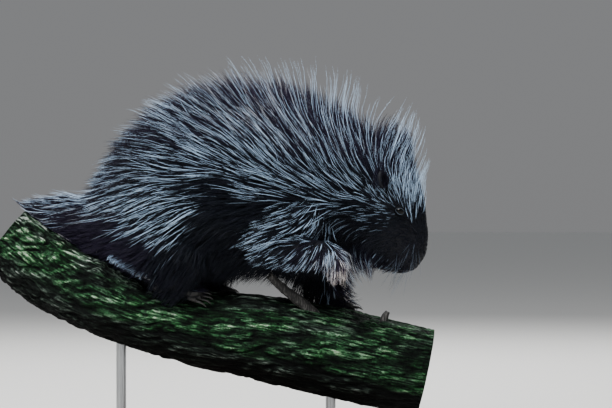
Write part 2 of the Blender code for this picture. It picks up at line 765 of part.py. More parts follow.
def lie_at(x, z):
    """Direction in the side view, least lift (radians) and hair length, blended near a place."""
    total = 0.0
    ahead = up = lift = length = 0.0
    for place_x, place_z, degrees, least, hair in LIE:
        weight = ((x - place_x) ** 2 + (z - place_z) ** 2 + 2e-4) ** -2
        total += weight
        ahead += weight * math.cos(math.radians(degrees))
        up += weight * math.sin(math.radians(degrees))
        lift += weight * least
        length += weight * hair
    direction = Vector((ahead, 0.0, up)).normalized()
    return direction, math.radians(lift / total), length / total


def lock_path(root, normal, length, lift_factor, body):
    """Stations of a lock that leaves its root and bends along the lie: point, ahead, out."""
    stations = []
    depth = ROOT_LEAST_DEPTH + length * ROOT_DEPTH
    point = root - normal * depth
    out = normal
    shares = [share for share, _ in LOCK_SHARES] + [1.0]
    for share, next_share in zip(shares, shares[1:] + [None]):
        lie, least, _ = lie_at(point.x, point.z)
        flat = (lie - out * lie.dot(out)).normalized()
        lift = max(math.asin(min(1.0, lie.dot(out))), least) * (1 - LOCK_EASE * share)
        lift = min(lift * lift_factor, STEEPEST)
        ahead = flat * math.cos(lift) + out * math.sin(lift)
        stations.append((point.copy(), ahead, out))
        if next_share is None:
            break
        point = point + ahead * (length * (next_share - share))
        if share == 0.0:
            point += normal * depth
        near, near_out, _, _ = body.find_nearest(point)
        rise = (point - near).dot(near_out)
        least_rise = length * LOCK_THICKNESS * 0.8
        if rise < least_rise:
            point += near_out * (least_rise - rise)
        out = near_out
    return stations


def lock_mesh(stations, width, thickness, grown=0.0):
    """A flat tapered blade with a ridge, sharp at the tip and fuller where it stands up."""
    points = []
    _, ahead, out = stations[1]
    thickness *= 1 + LOCK_FULLNESS * max(0.0, ahead.dot(out) - 0.3)
    for (point, ahead, out), (_, share) in zip(stations, LOCK_SHARES):
        across = ahead.cross(out).normalized()
        rise = across.cross(ahead).normalized()
        half = width * share / 2 + grown
        points.append(point - across * half - rise * (thickness * share * 0.4 + grown))
        points.append(point + across * half - rise * (thickness * share * 0.4 + grown))
        points.append(point + rise * (thickness * share * 0.6 + grown * 1.5))
    tip, ahead, _ = stations[-1]
    points.append(tip + ahead * grown)
    rings = len(LOCK_SHARES)
    faces = [[2, 1, 0]]
    for ring in range(rings - 1):
        for side in range(3):
            a, b = ring * 3 + side, ring * 3 + (side + 1) % 3
            faces.append([a, b, b + 3])
            faces.append([a, b + 3, a + 3])
    for side in range(3):
        a, b = (rings - 1) * 3 + side, (rings - 1) * 3 + (side + 1) % 3
        faces.append([a, b, rings * 3])
    return points, faces


class Coat:
    """Grows locks node by node, each clear of every other node and of the locks on it."""

    def __init__(self, cores, flesh):
        self.cores = {obj.name: surface_of(obj) for obj in cores}
        self.body = joined_surface([obj for obj in cores if obj.name in flesh])
        self.grown = {}
        self.chance = random.Random(SEED)

    def others(self, name):
        found = [tree for other, tree in self.cores.items() if other != name]
        return found + [tree for other, tree in self.grown.items() if other != name]

    def try_lock(self, root, normal, length, size, neighbours):
        """A lock raised, then shortened, until it clears its neighbours, or None."""
        for shorter, lift_factor in LOCK_TRIES:
            stations = lock_path(root, normal, length * shorter, lift_factor, self.body)
            width, thickness = size(length * shorter)
            test = lock_mesh(stations, width, thickness, CLEARANCE)
            tree = BVHTree.FromPolygons(*test)
            if not any(tree.overlap(other) for other in neighbours):
                return lock_mesh(stations, width, thickness)
        return None

    def grow(self, obj, areas):
        """Fuses locks and spines to obj. An area is its shape, where, and how big a lock is."""
        neighbours = self.others(obj.name)
        pieces = new_collection(obj.name + "_locks")
        all_points, all_faces = [], []
        count = 0
        for shape, area, size in areas:
            for root, normal in self.roots(shape, *area[:5]):
                _, _, length = lie_at(root.x, root.z)
                length *= area[5] * (1 + LENGTH_SPREAD * self.chance.uniform(-1, 1))
                made = self.try_lock(root, normal, length, size, neighbours)
                if made is None:
                    continue
                points, faces = made
                piece = mesh_object(f"{obj.name}_lock_{count}", points, faces, pieces)
                face_outward(piece)
                start = len(all_points)
                all_points += points
                all_faces += [[corner + start for corner in face] for face in faces]
                count += 1
        if count:
            self.grown[obj.name] = BVHTree.FromPolygons(all_points, all_faces)
        fuse(obj, pieces, "MANIFOLD")
        print(obj.name, count, "locks and spines")

    def roots(self, shape, start, end, furthest, along, around):
        """Staggered rows of roots over a shape, evenly spread and a little varied."""
        places = even_places(shape, start, end, along)
        for row, place in enumerate(places):
            arc = shape.girth(place) * furthest / 180
            count = max(2, round(arc / around))
            for k in range(count):
                stagger = 0.5 if row % 2 else 0.0
                stagger += self.chance.uniform(-PLACE_SPREAD, PLACE_SPREAD)
                step = (k + stagger) / count
                angle = math.radians(furthest) * (2 * step - 1)
                shift = self.chance.uniform(-PLACE_SPREAD, PLACE_SPREAD) * (end - start) / len(places)
                spot = min(max(place + shift, start), end)
                yield shape.ring_point(spot, angle), outward(shape, spot, angle)


def even_places(shape, start, end, step):
    """Places along a shape that are about one step apart, measured along its side."""
    samples = 24
    places = [start + (end - start) * k / samples for k in range(samples + 1)]
    points = [shape.ring_point(place, math.pi / 2) for place in places]
    run = [0.0]
    for a, b in zip(points, points[1:]):
        run.append(run[-1] + (b - a).length)
    rows = max(2, round(run[-1] / step) + 1)
    found = []
    k = 0
    for row in range(rows):
        goal = run[-1] * row / (rows - 1)
        while k < samples - 1 and run[k + 1] < goal:
            k += 1
        share = (goal - run[k]) / (run[k + 1] - run[k])
        found.append(places[k] + share * (places[k + 1] - places[k]))
    return found


def joined_surface(objects):
    points, faces = [], []
    for obj in objects:
        start = len(points)
        points += [v.co.copy() for v in obj.data.vertices]
        faces += [[v + start for v in polygon.vertices] for polygon in obj.data.polygons]
    return BVHTree.FromPolygons(points, faces)


def lock_size(length):
    return LOCK_LEAST_WIDTH + length * LOCK_WIDTH, LOCK_LEAST_THICKNESS + length * LOCK_THICKNESS


def spine_size(length):
    return SPINE_WIDTH, SPINE_THICKNESS


def finish(obj, kind):
    obj.data.materials.clear()
    obj.data.materials.append(material(obj.name, kind))
    for polygon in obj.data.polygons:
        polygon.material_index = 0
        polygon.use_smooth = True
    obj.data.set_sharp_from_angle(angle=math.radians(50))


def main():
    clear_scene()
    trunk = Trunk()

    limb = make_limb()
    twig = make_twig(limb)
    stand = make_stand(limb)

    half = GAP / 2
    tail = skin_over("tail", trunk, 0.0, TAIL_END, TAIL_MESH, high_gap=half)
    torso = skin_over("torso", trunk, TAIL_END, TORSO_END, TORSO_MESH, low_gap=half, high_gap=half)
    neck = skin_over("neck", trunk, TORSO_END, NECK_END, NECK_MESH, low_gap=half, high_gap=half)
    head = skin_over("head", trunk, NECK_END, NOSE_END, HEAD_MESH, low_gap=half)
    cut_clear_of(tail, limb)

    eyes = []
    face_pieces = new_collection("face_pieces")
    for side, name in ((-1, "right"), (1, "left")):
        eye, centre, normal = make_eye(trunk, side, f"eye_{name}")
        make_lids(face_pieces, centre, normal, side)
        eyes.append(eye)
    ellipsoid("chin", Vector(CHIN_CENTRE), CHIN_SIZE, collection=face_pieces)
    fuse(head, face_pieces)
    carve_face(head, trunk)
    cut_clear_of(head, *eyes)

    ears = [
        make_ear(trunk, side, f"ear_{name}", (head, neck))
        for side, name in ((-1, "right"), (1, "left"))
    ]

    made = [
        make_hind_leg(-1, "right", 0.0, torso, limb),
        make_hind_leg(1, "left", FAR_HIND_SHIFT, torso, limb),
        make_planted_fore_leg(torso, neck, limb),
        make_raised_fore_leg(torso, neck),
    ]
    legs = [leg for leg, _, _ in made]
    feet = [foot for _, foot, _ in made]

    flesh = [tail, torso, neck, head, *legs]
    coat = Coat([*flesh, *ears, *eyes, *feet, limb, twig], {obj.name for obj in flesh})
    coat.grow(torso, [(trunk, TORSO_LOCKS, lock_size), (trunk, TORSO_SPINES, spine_size)])
    coat.grow(tail, [(trunk, TAIL_LOCKS, lock_size)])
    coat.grow(neck, [(trunk, NECK_LOCKS, lock_size), (trunk, NECK_SPINES, spine_size)])
    coat.grow(head, [(trunk, CROWN_LOCKS, lock_size), (trunk, CHEEK_LOCKS, lock_size)])
    for leg, _, shapes in made:
        coat.grow(leg, [
            (shape, (LEG_LOCKS_START, shape.end * LEG_LOCKS_END, 180, *LEG_SPACING), lock_size)
            for shape in shapes
        ])

    for obj in (tail, torso, neck, head, *ears, *legs):
        finish(obj, "coat")
    for obj in feet:
        finish(obj, "naked_skin")
    for obj in eyes:
        finish(obj, "eye")
    for obj in (limb, twig):
        finish(obj, "bark")
    finish(stand[0], "base_wood")
    for rod in stand[1:]:
        finish(rod, "rod_steel")


main()
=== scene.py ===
# %% [markdown]
# # A porcupine on a limb, life size
#
# A North American porcupine walks head down along a mossy limb, one forefoot raised. This
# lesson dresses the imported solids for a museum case: bark and moss on the limb, varnish on the
# base, one dark hide over the whole animal, and on the hide nearly seventy thousand hairs, each
# a thin closed mesh. Everything is in metres, +Z up, and the animal faces +X.

# %% The tools and the frame
import math

import bmesh
import bpy
import numpy as np
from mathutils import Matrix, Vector
from mathutils.bvhtree import BVHTree
from mathutils.kdtree import KDTree


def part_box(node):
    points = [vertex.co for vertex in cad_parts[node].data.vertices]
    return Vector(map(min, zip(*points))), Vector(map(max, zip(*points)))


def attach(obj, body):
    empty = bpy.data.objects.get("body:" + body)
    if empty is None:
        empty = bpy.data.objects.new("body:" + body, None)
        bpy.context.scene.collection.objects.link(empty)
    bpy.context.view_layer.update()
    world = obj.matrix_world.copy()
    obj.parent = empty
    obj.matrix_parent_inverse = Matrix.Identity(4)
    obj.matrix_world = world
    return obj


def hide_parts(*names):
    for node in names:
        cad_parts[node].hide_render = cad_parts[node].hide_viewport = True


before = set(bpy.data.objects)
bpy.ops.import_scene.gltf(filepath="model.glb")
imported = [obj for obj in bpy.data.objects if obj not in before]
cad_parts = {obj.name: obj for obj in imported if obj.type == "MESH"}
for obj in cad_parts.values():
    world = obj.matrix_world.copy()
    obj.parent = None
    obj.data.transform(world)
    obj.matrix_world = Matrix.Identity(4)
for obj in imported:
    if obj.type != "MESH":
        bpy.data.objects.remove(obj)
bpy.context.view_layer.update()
limb_solid = BVHTree.FromObject(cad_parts["perch_limb"],
                                bpy.context.evaluated_depsgraph_get())
print("nodes in the frame:", len(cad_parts))

# %% [markdown]
# ## The camera
#
# The photograph was taken from the animal's right side with a long lens, so near and far legs
# keep the same size. One pixel is worth 1.6 mm at the animal. A long lens a few metres away
# gives the same flat look, and its focal length follows from that scale.

# %% The camera
PHOTO_WIDTH = 612
PHOTO_HEIGHT = 408
PIXEL = 0.0016
ORIGIN_COLUMN = 215.0
FLOOR_ROW = 444.25
CAMERA_DISTANCE = 4.0
SENSOR = 36.0

middle_x = (PHOTO_WIDTH / 2 - ORIGIN_COLUMN) * PIXEL
middle_z = (FLOOR_ROW - PHOTO_HEIGHT / 2) * PIXEL
camera_data = bpy.data.cameras.new("camera")
camera_data.sensor_width = SENSOR
camera_data.lens = SENSOR * CAMERA_DISTANCE / (PHOTO_WIDTH * PIXEL)
camera = bpy.data.objects.new("camera", camera_data)
camera.location = (middle_x, -CAMERA_DISTANCE, middle_z)
camera.rotation_euler = (math.pi / 2, 0.0, 0.0)
bpy.context.scene.collection.objects.link(camera)
bpy.context.scene.camera = camera
print("lens", round(camera_data.lens, 1), "mm, camera height", round(middle_z, 3), "m")

# %% [markdown]
# ## Colours and shader nodes
#
# Colours are written as people pick them, in sRGB hex, and one function turns them into the
# linear numbers that a shader works in. Another small function adds a node, sets it and links
# it, so that each material below reads as a short recipe. An input takes either a value or the
# output of another node, and the finished shader is fed in the same way.

# %% Colours and shader nodes
def linear(code):
    """An sRGB hex colour as the linear red, green, blue and alpha of a shader socket."""
    parts = [int(code[i:i + 2], 16) / 255 for i in (0, 2, 4)]
    return (*[c / 12.92 if c <= 0.04045 else ((c + 0.055) / 1.055) ** 2.4 for c in parts], 1.0)


def feed(tree, node, inputs):
    """Sets inputs of a node, each to a value or from a socket of another node."""
    for name, value in inputs.items():
        if isinstance(value, bpy.types.NodeSocket):
            tree.links.new(value, node.inputs[name])
        else:
            node.inputs[name].default_value = value


def add(tree, kind, inputs=None, stops=None, **settings):
    """Adds one shader node. Inputs are values or sockets, stops fill a ramp with hex colours."""
    made = tree.nodes.new("ShaderNode" + kind)
    for name, value in settings.items():
        setattr(made, name, value)
    feed(tree, made, inputs or {})
    if stops:
        elements = made.color_ramp.elements
        while len(elements) < len(stops):
            elements.new(1.0)
        for element, (place, colour) in zip(elements, stops):
            element.position = place
            element.color = linear(colour)
    return made


def new_material(name, roughness, ior=1.5, metallic=0.0):
    """A material with its Principled shader set, and the tree to build on."""
    made = bpy.data.materials.new(name)
    made.use_nodes = True
    shader = made.node_tree.nodes["Principled BSDF"]
    feed(made.node_tree, shader, {"Roughness": roughness, "IOR": ior, "Metallic": metallic})
    return made, made.node_tree, shader


print("pale hair in linear numbers:", [round(c, 3) for c in linear("C3CFD6")])

# %% [markdown]
# ## Meshes from arrays
#
# A bark surface or a coat has far too many points to make one by one. Both are worked out as
# arrays and handed to Blender whole. A tube is rings of points joined by triangles, with a fan
# on each end, and it is the base of the limb, the legs, the toes and the claws.

# %% Meshes from arrays
def mesh_piece(name, points, triangles, material):
    """A smooth mesh object from an array of points and an array of triangles."""
    mesh = bpy.data.meshes.new(name)
    mesh.vertices.add(len(points))
    mesh.vertices.foreach_set("co", np.ascontiguousarray(points, np.float32).ravel())
    mesh.loops.add(triangles.size)
    mesh.loops.foreach_set("vertex_index", np.ascontiguousarray(triangles, np.int32).ravel())
    mesh.polygons.add(len(triangles))
    mesh.polygons.foreach_set("loop_start", np.arange(0, triangles.size, 3, dtype=np.int32))
    mesh.polygons.foreach_set("use_smooth", np.ones(len(triangles), bool))
    mesh.update(calc_edges=True)
    mesh.materials.append(material)
    obj = bpy.data.objects.new(name, mesh)
    bpy.context.scene.collection.objects.link(obj)
    return obj


def tube_faces(rings, sides):
    """Triangles over rings of points, then a fan round a centre point on each end."""
    ring, side = np.meshgrid(np.arange(rings - 1), np.arange(sides), indexing="ij")
    a = (ring * sides + side).ravel()
    b = (ring * sides + (side + 1) % sides).ravel()
    near = np.arange(sides)
    after = (near + 1) % sides
    far = (rings - 1) * sides
    return np.concatenate([
        np.stack([a, a + sides, b + sides], 1),
        np.stack([a, b + sides, b], 1),
        np.stack([np.full(sides, rings * sides), near, after], 1),
        np.stack([np.full(sides, rings * sides + 1), far + after, far + near], 1),
    ])


def ring_faces(first, second, sides):
    """Triangles between two rings of points, each given by the number of its first point."""
    k = np.arange(sides)
    after = (k + 1) % sides
    return np.concatenate([np.stack([first + k, first + after, second + after], 1),
                           np.stack([first + k, second + after, second + k], 1)])


def tube(name, shape, rings, sides, material):
    """A closed tube over a shape, with a centre point on each end."""
    place = np.repeat(np.linspace(0.0, shape.end, rings), sides)
    angle = np.tile(np.arange(sides) * math.tau / sides, rings)
    points = shape.surface(place, angle)
    ends = [points[:sides].mean(0), points[-sides:].mean(0)]
    obj = mesh_piece(name, np.concatenate([points, ends]), tube_faces(rings, sides), material)
    face_outward(obj)
    return obj


def vertex_array(obj, kind="co"):
    """The places of a mesh's points, or their normals, as an array."""
    values = np.empty(len(obj.data.vertices) * 3, np.float32)
    obj.data.vertices.foreach_get(kind, values)
    return values.reshape(-1, 3).astype(float)


def move_vertices(obj, points):
    """Puts the points of a mesh at new places."""
    obj.data.vertices.foreach_set("co", points.astype(np.float32).ravel())


print("a tube of 3 rings and 8 sides has", len(tube_faces(3, 8)), "triangles")

# %% [markdown]
# ## Turning, melting and joining
#
# Flesh has no seams where its parts meet. Closed shapes that overlap are melted into one skin by
# a voxel remesh, which rebuilds their common outside from small cubes, and then smoothed.
# Blender reads which way a face looks from the order of its corners, so closed pieces are also
# turned to look out.

# %% Turning, melting and joining
def face_outward(obj):
    """Turns the faces of a closed mesh to point out."""
    grid = bmesh.new()
    grid.from_mesh(obj.data)
    bmesh.ops.recalc_face_normals(grid, faces=grid.faces)
    if grid.calc_volume(signed=True) < 0:
        bmesh.ops.reverse_faces(grid, faces=grid.faces)
    grid.to_mesh(obj.data)
    grid.free()


def remesh(obj, voxel, smoothing):
    """Melts overlapping closed shapes into one skin and smooths it."""
    melt = obj.modifiers.new("melt", "REMESH")
    melt.mode = "VOXEL"
    melt.voxel_size = voxel
    soften = obj.modifiers.new("soften", "SMOOTH")
    soften.factor = 0.5
    soften.iterations = smoothing
    bpy.context.view_layer.update()
    graph = bpy.context.evaluated_depsgraph_get()
    made = bpy.data.meshes.new_from_object(obj.evaluated_get(graph))
    obj.modifiers.clear()
    obj.data = made
    made.shade_smooth()
    return obj


def joined(name, objects):
    """Several mesh objects as one, under a new name."""
    with bpy.context.temp_override(
        active_object=objects[0], selected_editable_objects=objects, object=objects[0]
    ):
        bpy.ops.object.join()
    objects[0].name = name
    return objects[0]


print("meshes so far:", len(bpy.data.meshes))

# %% [markdown]
# ## Curves through a few stations
#
# An animal's body has no straight line in it. Each form is given by a few stations, and a
# Catmull-Rom curve reads them at any place between. It passes through every station, so the
# numbers in the tables are sizes of the animal itself.

# %% Curves through a few stations
def blend_rows(rows, place):
    """Rows of numbers read at real-numbered places on a smooth curve."""
    last = len(rows) - 1
    place = np.clip(np.asarray(place, float), 0.0, last)
    first = np.minimum(place.astype(int), last - 1)
    t = (place - first)[:, None]
    a = rows[np.maximum(first - 1, 0)]
    b = rows[first]
    c = rows[first + 1]
    d = rows[np.minimum(first + 2, last)]
    square = 2 * a - 5 * b + 4 * c - d
    cube = 3 * b - a - 3 * c + d
    return 0.5 * (2 * b + (c - a) * t + square * t * t + cube * t ** 3)


def unit(vectors):
    """Each vector at length one."""
    return vectors / np.maximum(np.linalg.norm(vectors, axis=-1, keepdims=True), 1e-12)


def dot(a, b):
    """The dot product of each pair of vectors, kept as a column."""
    return (a * b).sum(-1, keepdims=True)


middle_of_three = blend_rows(np.array([[0.0], [1.0], [4.0]]), np.array([1.5]))
print("between stations 1 and 4 the curve reads", middle_of_three[0, 0])

# %% [markdown]
# ## Tubes
#
# Legs, toes, claws and twigs are all tubes. A station says where the middle is, and how deep
# and how wide the tube is there. Half a section is drawn from its cosine and half from its
# sine, and the width always lies across the animal, which keeps a tube from twisting.

# %% Tubes
SIDE = np.array([0.0, 1.0, 0.0])


class Tube:
    """A tube through stations: centre, half depth along the body and half width."""

    def __init__(self, stations, thinner=0.0):
        self.rows = np.array([[*centre, deep - thinner, wide - thinner]
                              for centre, deep, wide in stations])
        self.end = len(stations) - 1.0

    def surface(self, place, angle):
        """Points at places along the tube and angles round it, 0 being its back."""
        now = blend_rows(self.rows, place)
        ahead = blend_rows(self.rows, np.minimum(place + 0.05, self.end))[:, :3]
        behind = blend_rows(self.rows, np.maximum(place - 0.05, 0.0))[:, :3]
        along = unit(ahead - behind)
        wide_axis = unit(SIDE - along * dot(along, SIDE))
        deep_axis = np.cross(wide_axis, along)
        deep = np.cos(angle)[:, None] * now[:, 3:4]
        wide = np.sin(angle)[:, None] * now[:, 4:5]
        return now[:, :3] + deep_axis * deep + wide_axis * wide


finger = Tube([((0.0, 0.0, 0.0), 0.01, 0.01), ((0.1, 0.0, 0.0), 0.01, 0.01)])
print("a tube's first point:", finger.surface(np.zeros(1), np.zeros(1))[0].round(3))

# %% [markdown]
# ## The trunk
#
# From tail to nose the body is one form. Its sections lean: they fan round the hunched back, so
# each is given by its top and its foot in the side view. Each is also narrower above than
# below. The numbers are those of the solids, so that the hide lies inside them.

# %% The trunk
# The body, tail to nose: top (x, z), bottom (x, z) and half width of the bare body, depth of
# the coat's core over, beside and under it, and how much narrower the top is than the foot
BODY = np.array((
    (-0.300, 0.374, -0.296, 0.364, 0.006, 0.003, 0.003, 0.003, 0.00),
    (-0.272, 0.388, -0.262, 0.346, 0.017, 0.008, 0.008, 0.008, 0.00),
    (-0.235, 0.393, -0.222, 0.326, 0.026, 0.010, 0.010, 0.010, 0.00),
    (-0.195, 0.393, -0.176, 0.306, 0.036, 0.013, 0.012, 0.010, 0.05),
    (-0.165, 0.407, -0.149, 0.301, 0.054, 0.018, 0.014, 0.010, 0.08),
    (-0.139, 0.442, -0.126, 0.292, 0.073, 0.024, 0.016, 0.008, 0.10),
    (-0.104, 0.482, -0.096, 0.287, 0.088, 0.026, 0.016, 0.006, 0.12),
    (-0.048, 0.517, -0.043, 0.286, 0.096, 0.028, 0.015, 0.006, 0.14),
    (0.016, 0.533, 0.016, 0.286, 0.097, 0.029, 0.014, 0.006, 0.14),
    (0.080, 0.533, 0.075, 0.289, 0.091, 0.030, 0.014, 0.006, 0.14),
    (0.141, 0.520, 0.128, 0.292, 0.082, 0.030, 0.014, 0.006, 0.12),
    (0.192, 0.498, 0.176, 0.298, 0.071, 0.030, 0.014, 0.007, 0.08),
    (0.229, 0.479, 0.204, 0.305, 0.060, 0.028, 0.013, 0.008, 0.04),
    (0.258, 0.464, 0.220, 0.308, 0.052, 0.024, 0.011, 0.007, 0.04),
    (0.289, 0.446, 0.231, 0.305, 0.047, 0.017, 0.009, 0.005, 0.08),
    (0.314, 0.419, 0.241, 0.297, 0.044, 0.009, 0.005, 0.004, 0.14),
    (0.328, 0.394, 0.248, 0.292, 0.040, 0.003, 0.003, 0.003, 0.18),
    (0.335, 0.368, 0.258, 0.288, 0.034, 0.001, 0.001, 0.001, 0.16),
    (0.339, 0.343, 0.268, 0.285, 0.029, 0.001, 0.001, 0.001, 0.10),
    (0.339, 0.322, 0.279, 0.281, 0.0255, 0.001, 0.001, 0.001, 0.04),
    (0.334, 0.301, 0.288, 0.277, 0.0215, 0.001, 0.001, 0.001, 0.00),
    (0.323, 0.285, 0.300, 0.275, 0.0140, 0.0005, 0.0005, 0.0005, 0.00),
    (0.316, 0.279, 0.308, 0.276, 0.0050, 0.0, 0.0, 0.0, 0.00),
))


class Trunk:
    """The body from tail to nose, each ring in one plane across the side view."""

    end = len(BODY) - 1.0

    def __init__(self, core=0.0):
        self.core = core

    def surface(self, place, angle):
        """Points at places from tail to nose and angles round the body, 0 being on top."""
        top_x, top_z, foot_x, foot_z, half_width, over, beside, under, egg = (
            blend_rows(BODY, place).T
        )
        level = np.zeros_like(top_x)
        middle = np.stack([(top_x + foot_x) / 2, level, (top_z + foot_z) / 2], 1)
        up = np.stack([(top_x - foot_x) / 2, level, (top_z - foot_z) / 2], 1)
        half_height = np.linalg.norm(up, axis=1)
        up = unit(up)
        c, s = np.cos(angle), np.sin(angle)
        width = half_width * (1 - egg * c)
        out = unit(up * (c * width)[:, None] + SIDE * (s * half_height)[:, None])
        depth = (beside + (np.where(c > 0, over, under) - beside) * c * c) * self.core
        flat = middle + up * (c * half_height)[:, None] + SIDE * (s * width)[:, None]
        return flat + out * depth[:, None]


body = Trunk()
core = Trunk(core=1.0)
shoulder_top = body.surface(np.array([10.0]), np.zeros(1))[0]
print("back at the shoulder:", shoulder_top.round(3))

# %% [markdown]
# ## The way out of a form
#
# Hair, eyes and ears need to know which way is out. Two short steps on the form, one along it
# and one round it, give two directions in its surface, and their cross product stands on both.

# %% The way out of a form
def outward(shape, place, angle):
    """The direction straight out of a shape at each place."""
    step = 0.05
    high = np.minimum(place + step, shape.end)
    low = np.maximum(place - step, 0.0)
    along = shape.surface(high, angle) - shape.surface(low, angle)
    around = shape.surface(place, angle + step) - shape.surface(place, angle - step)
    normal = unit(np.cross(around, along))
    through = shape.surface(place, angle) - shape.surface(place, angle + math.pi)
    return normal * np.sign(dot(normal, through))


def spot_on(shape, place, degrees, side=1):
    """One point of a shape and the direction out of it, as vectors."""
    at = np.array([place])
    angle = np.array([math.radians(degrees) * side])
    return Vector(shape.surface(at, angle)[0]), Vector(outward(shape, at, angle)[0])


_, side_out = spot_on(body, 10.0, 90)
print("out of the left side:", [round(c, 2) for c in side_out])

# %% [markdown]
# ## Smooth random values
#
# Bark, moss and the waves of a coat vary in a smooth way. A block of random numbers, read
# between its cells with an eased step, gives that, and it is the same at each run.

# %% Smooth random values
NOISE_CELLS = 32
noise_block = np.random.default_rng(4).random((NOISE_CELLS,) * 3)


def noise(x, y, z):
    """Smooth values from 0 to 1 that change over about one unit."""
    place = np.stack([x, y, z], -1)
    cell = np.floor(place).astype(int)
    t = place - cell
    t = t * t * (3 - 2 * t)
    total = np.zeros(len(place))
    for corner in np.ndindex(2, 2, 2):
        index = tuple(((cell + corner) % NOISE_CELLS).T)
        share = np.prod(np.where(np.array(corner) == 1, t, 1 - t), axis=1)
        total += noise_block[index] * share
    return total


print("noise runs from", round(noise_block.min(), 2), "to", round(noise_block.max(), 2))

# %% [markdown]
# ## Bark with moss
#
# The limb is an old hardwood: grey bark cracked into long furrows a few millimetres deep, dark
# in the cracks, with green moss in cushions where rain runs. The furrows and the cushions are
# real relief, made below. The material only colours them, from three numbers that the mesh
# carries at each point: how open the bark lies, made paler by a painted highlight on the lit top
# of the left end, how thick the moss is, and how much painted shade darkens the side turned away
# from the light. A fourth value, the place along and across the limb, draws the fine
# threads of the bark, three millimetres wide and eight times as long, as colour and bump.

# %% Bark with moss
bark, tree, shader = new_material("weathered_bark_with_moss", roughness=0.88)
# How open the bark lies, made paler by a painted highlight on the lit top of the left end
open_bark_and_highlight = add(tree, "Attribute", attribute_name="open_bark_and_highlight")
moss = add(tree, "Attribute", attribute_name="moss")
# Painted shade: how far the bark is darkened where it faces away from the light
shade = add(tree, "Attribute", attribute_name="shade")
strand = add(tree, "Attribute", attribute_name="strand")
place = add(tree, "TexCoord")
grain = add(tree, "TexNoise", {"Vector": place.outputs["Object"], "Scale": 330.0, "Detail": 5.0})
drift = add(tree, "TexNoise", {"Vector": place.outputs["Object"], "Scale": 26.0, "Detail": 3.0})
threads = add(tree, "TexNoise", {"Vector": strand.outputs["Vector"], "Scale": 300.0,
                                 "Detail": 4.0, "Roughness": 0.6})
raised = add(tree, "MapRange", {0: threads.outputs["Fac"], 1: 0.34, 2: 0.62})
height = add(tree, "Math", {0: open_bark_and_highlight.outputs["Fac"], 1: raised.outputs[0]},
             operation="MULTIPLY")
plate = add(tree, "ValToRGB", {"Fac": height.outputs[0]}, stops=(
    (0.05, "010202"), (0.35, "0F1512"), (0.60, "2D3A32"),
    (0.85, "66746A"), (1.00, "A9B0AC")))
green = add(tree, "ValToRGB", {"Fac": height.outputs[0]}, stops=(
    (0.05, "010301"), (0.35, "0A2A10"), (0.60, "1A5621"),
    (0.85, "46783C"), (1.00, "8FA878")))
grey_green = add(tree, "ValToRGB", {"Fac": height.outputs[0]}, stops=(
    (0.05, "010202"), (0.35, "112016"), (0.60, "2D4D37"),
    (0.85, "5D8068"), (1.00, "A8BBAA")))
speck = add(tree, "ValToRGB", {"Fac": grain.outputs["Fac"]}, stops=(
    (0.30, "5C5753"), (0.62, "FFFFFF")))
# Painted shade: bark that faces away from the light is mixed towards near black
painted_shade = add(tree, "Mix", {0: shade.outputs["Fac"], 6: plate.outputs[0], 7: linear("060707")},
           data_type="RGBA")
carpet = add(tree, "Mix", {0: drift.outputs["Fac"], 6: green.outputs[0],
                           7: grey_green.outputs[0]}, data_type="RGBA")
grown_over = add(tree, "Mix", {0: moss.outputs["Fac"], 6: painted_shade.outputs[2],
                               7: carpet.outputs[2]}, data_type="RGBA")
finished = add(tree, "Mix", {0: 0.75, 6: grown_over.outputs[2], 7: speck.outputs[0]},
               data_type="RGBA", blend_type="MULTIPLY")
rough = add(tree, "Bump", {"Height": grain.outputs["Fac"], "Strength": 0.5, "Distance": 0.0012})
split = add(tree, "Bump", {"Height": raised.outputs[0], "Normal": rough.outputs[0],
                           "Strength": 0.8, "Distance": 0.0022})
feed(tree, shader, {"Base Color": finished.outputs[2], "Normal": split.outputs[0],
                    "Specular IOR Level": 0.08})
print("bark grain about", round(1000 / 330, 1), "mm")

# %% [markdown]
# ## Sawn wood
#
# The display limb is cut to length, and the cut shows growth rings round the heart and fine
# saw marks. Rings two to three millimetres apart suit a slow-growing hardwood.

# %% Sawn wood
RING_SPACING = 0.0026
sawn, tree, shader = new_material("sawn_end_grain", roughness=0.75)
rings = add(tree, "Attribute", attribute_name="from_heart")
wobble = add(tree, "TexNoise", {"Scale": 45.0, "Detail": 3.0})
push = add(tree, "Math", {0: wobble.outputs["Fac"], 1: 0.006}, operation="MULTIPLY")
far = add(tree, "Math", {0: rings.outputs["Fac"], 1: push.outputs[0]}, operation="ADD")
turns = add(tree, "Math", {0: far.outputs[0], 1: math.tau / RING_SPACING}, operation="MULTIPLY")
wave = add(tree, "Math", {0: turns.outputs[0]}, operation="SINE")
ring_colour = add(tree, "ValToRGB", {"Fac": wave.outputs[0]}, stops=(
    (0.0, "B08C60"), (0.55, "9C764B"), (0.95, "6F4E2E")))
marks = add(tree, "Bump", {"Height": wobble.outputs["Fac"], "Strength": 0.25, "Distance": 0.001})
feed(tree, shader, {"Base Color": ring_colour.outputs[0], "Normal": marks.outputs[0]})
print("growth rings", RING_SPACING * 1000, "mm apart")

# %% [markdown]
# ## The limb
#
# The tube follows the solid's own centre line and radius. Furrows run along it, because a
# trunk cracks across its girth as it swells. Moss grows in streaks on the side that catches the
# rain, stands a little proud and hides part of the cracks. A burl swells the near side behind
# the hind foot, as in the photograph.

# %% The limb's line
LIMB = (
    ((-0.336, 0.0, 0.330), 0.054), ((-0.274, 0.0, 0.283), 0.058), ((-0.197, 0.0, 0.241), 0.058),
    ((-0.112, 0.0, 0.207), 0.055), ((-0.020, 0.0, 0.184), 0.060), ((0.070, 0.0, 0.171), 0.067),
    ((0.136, 0.0, 0.158), 0.070), ((0.200, 0.0, 0.144), 0.071), ((0.290, 0.0, 0.124), 0.070),
    ((0.336, 0.0, 0.114), 0.069),
)
limb_shape = Tube([(centre, radius, radius) for centre, radius in LIMB])
print("limb:", LIMB[0][1] * 2000, "to", LIMB[-1][1] * 2000, "mm thick")

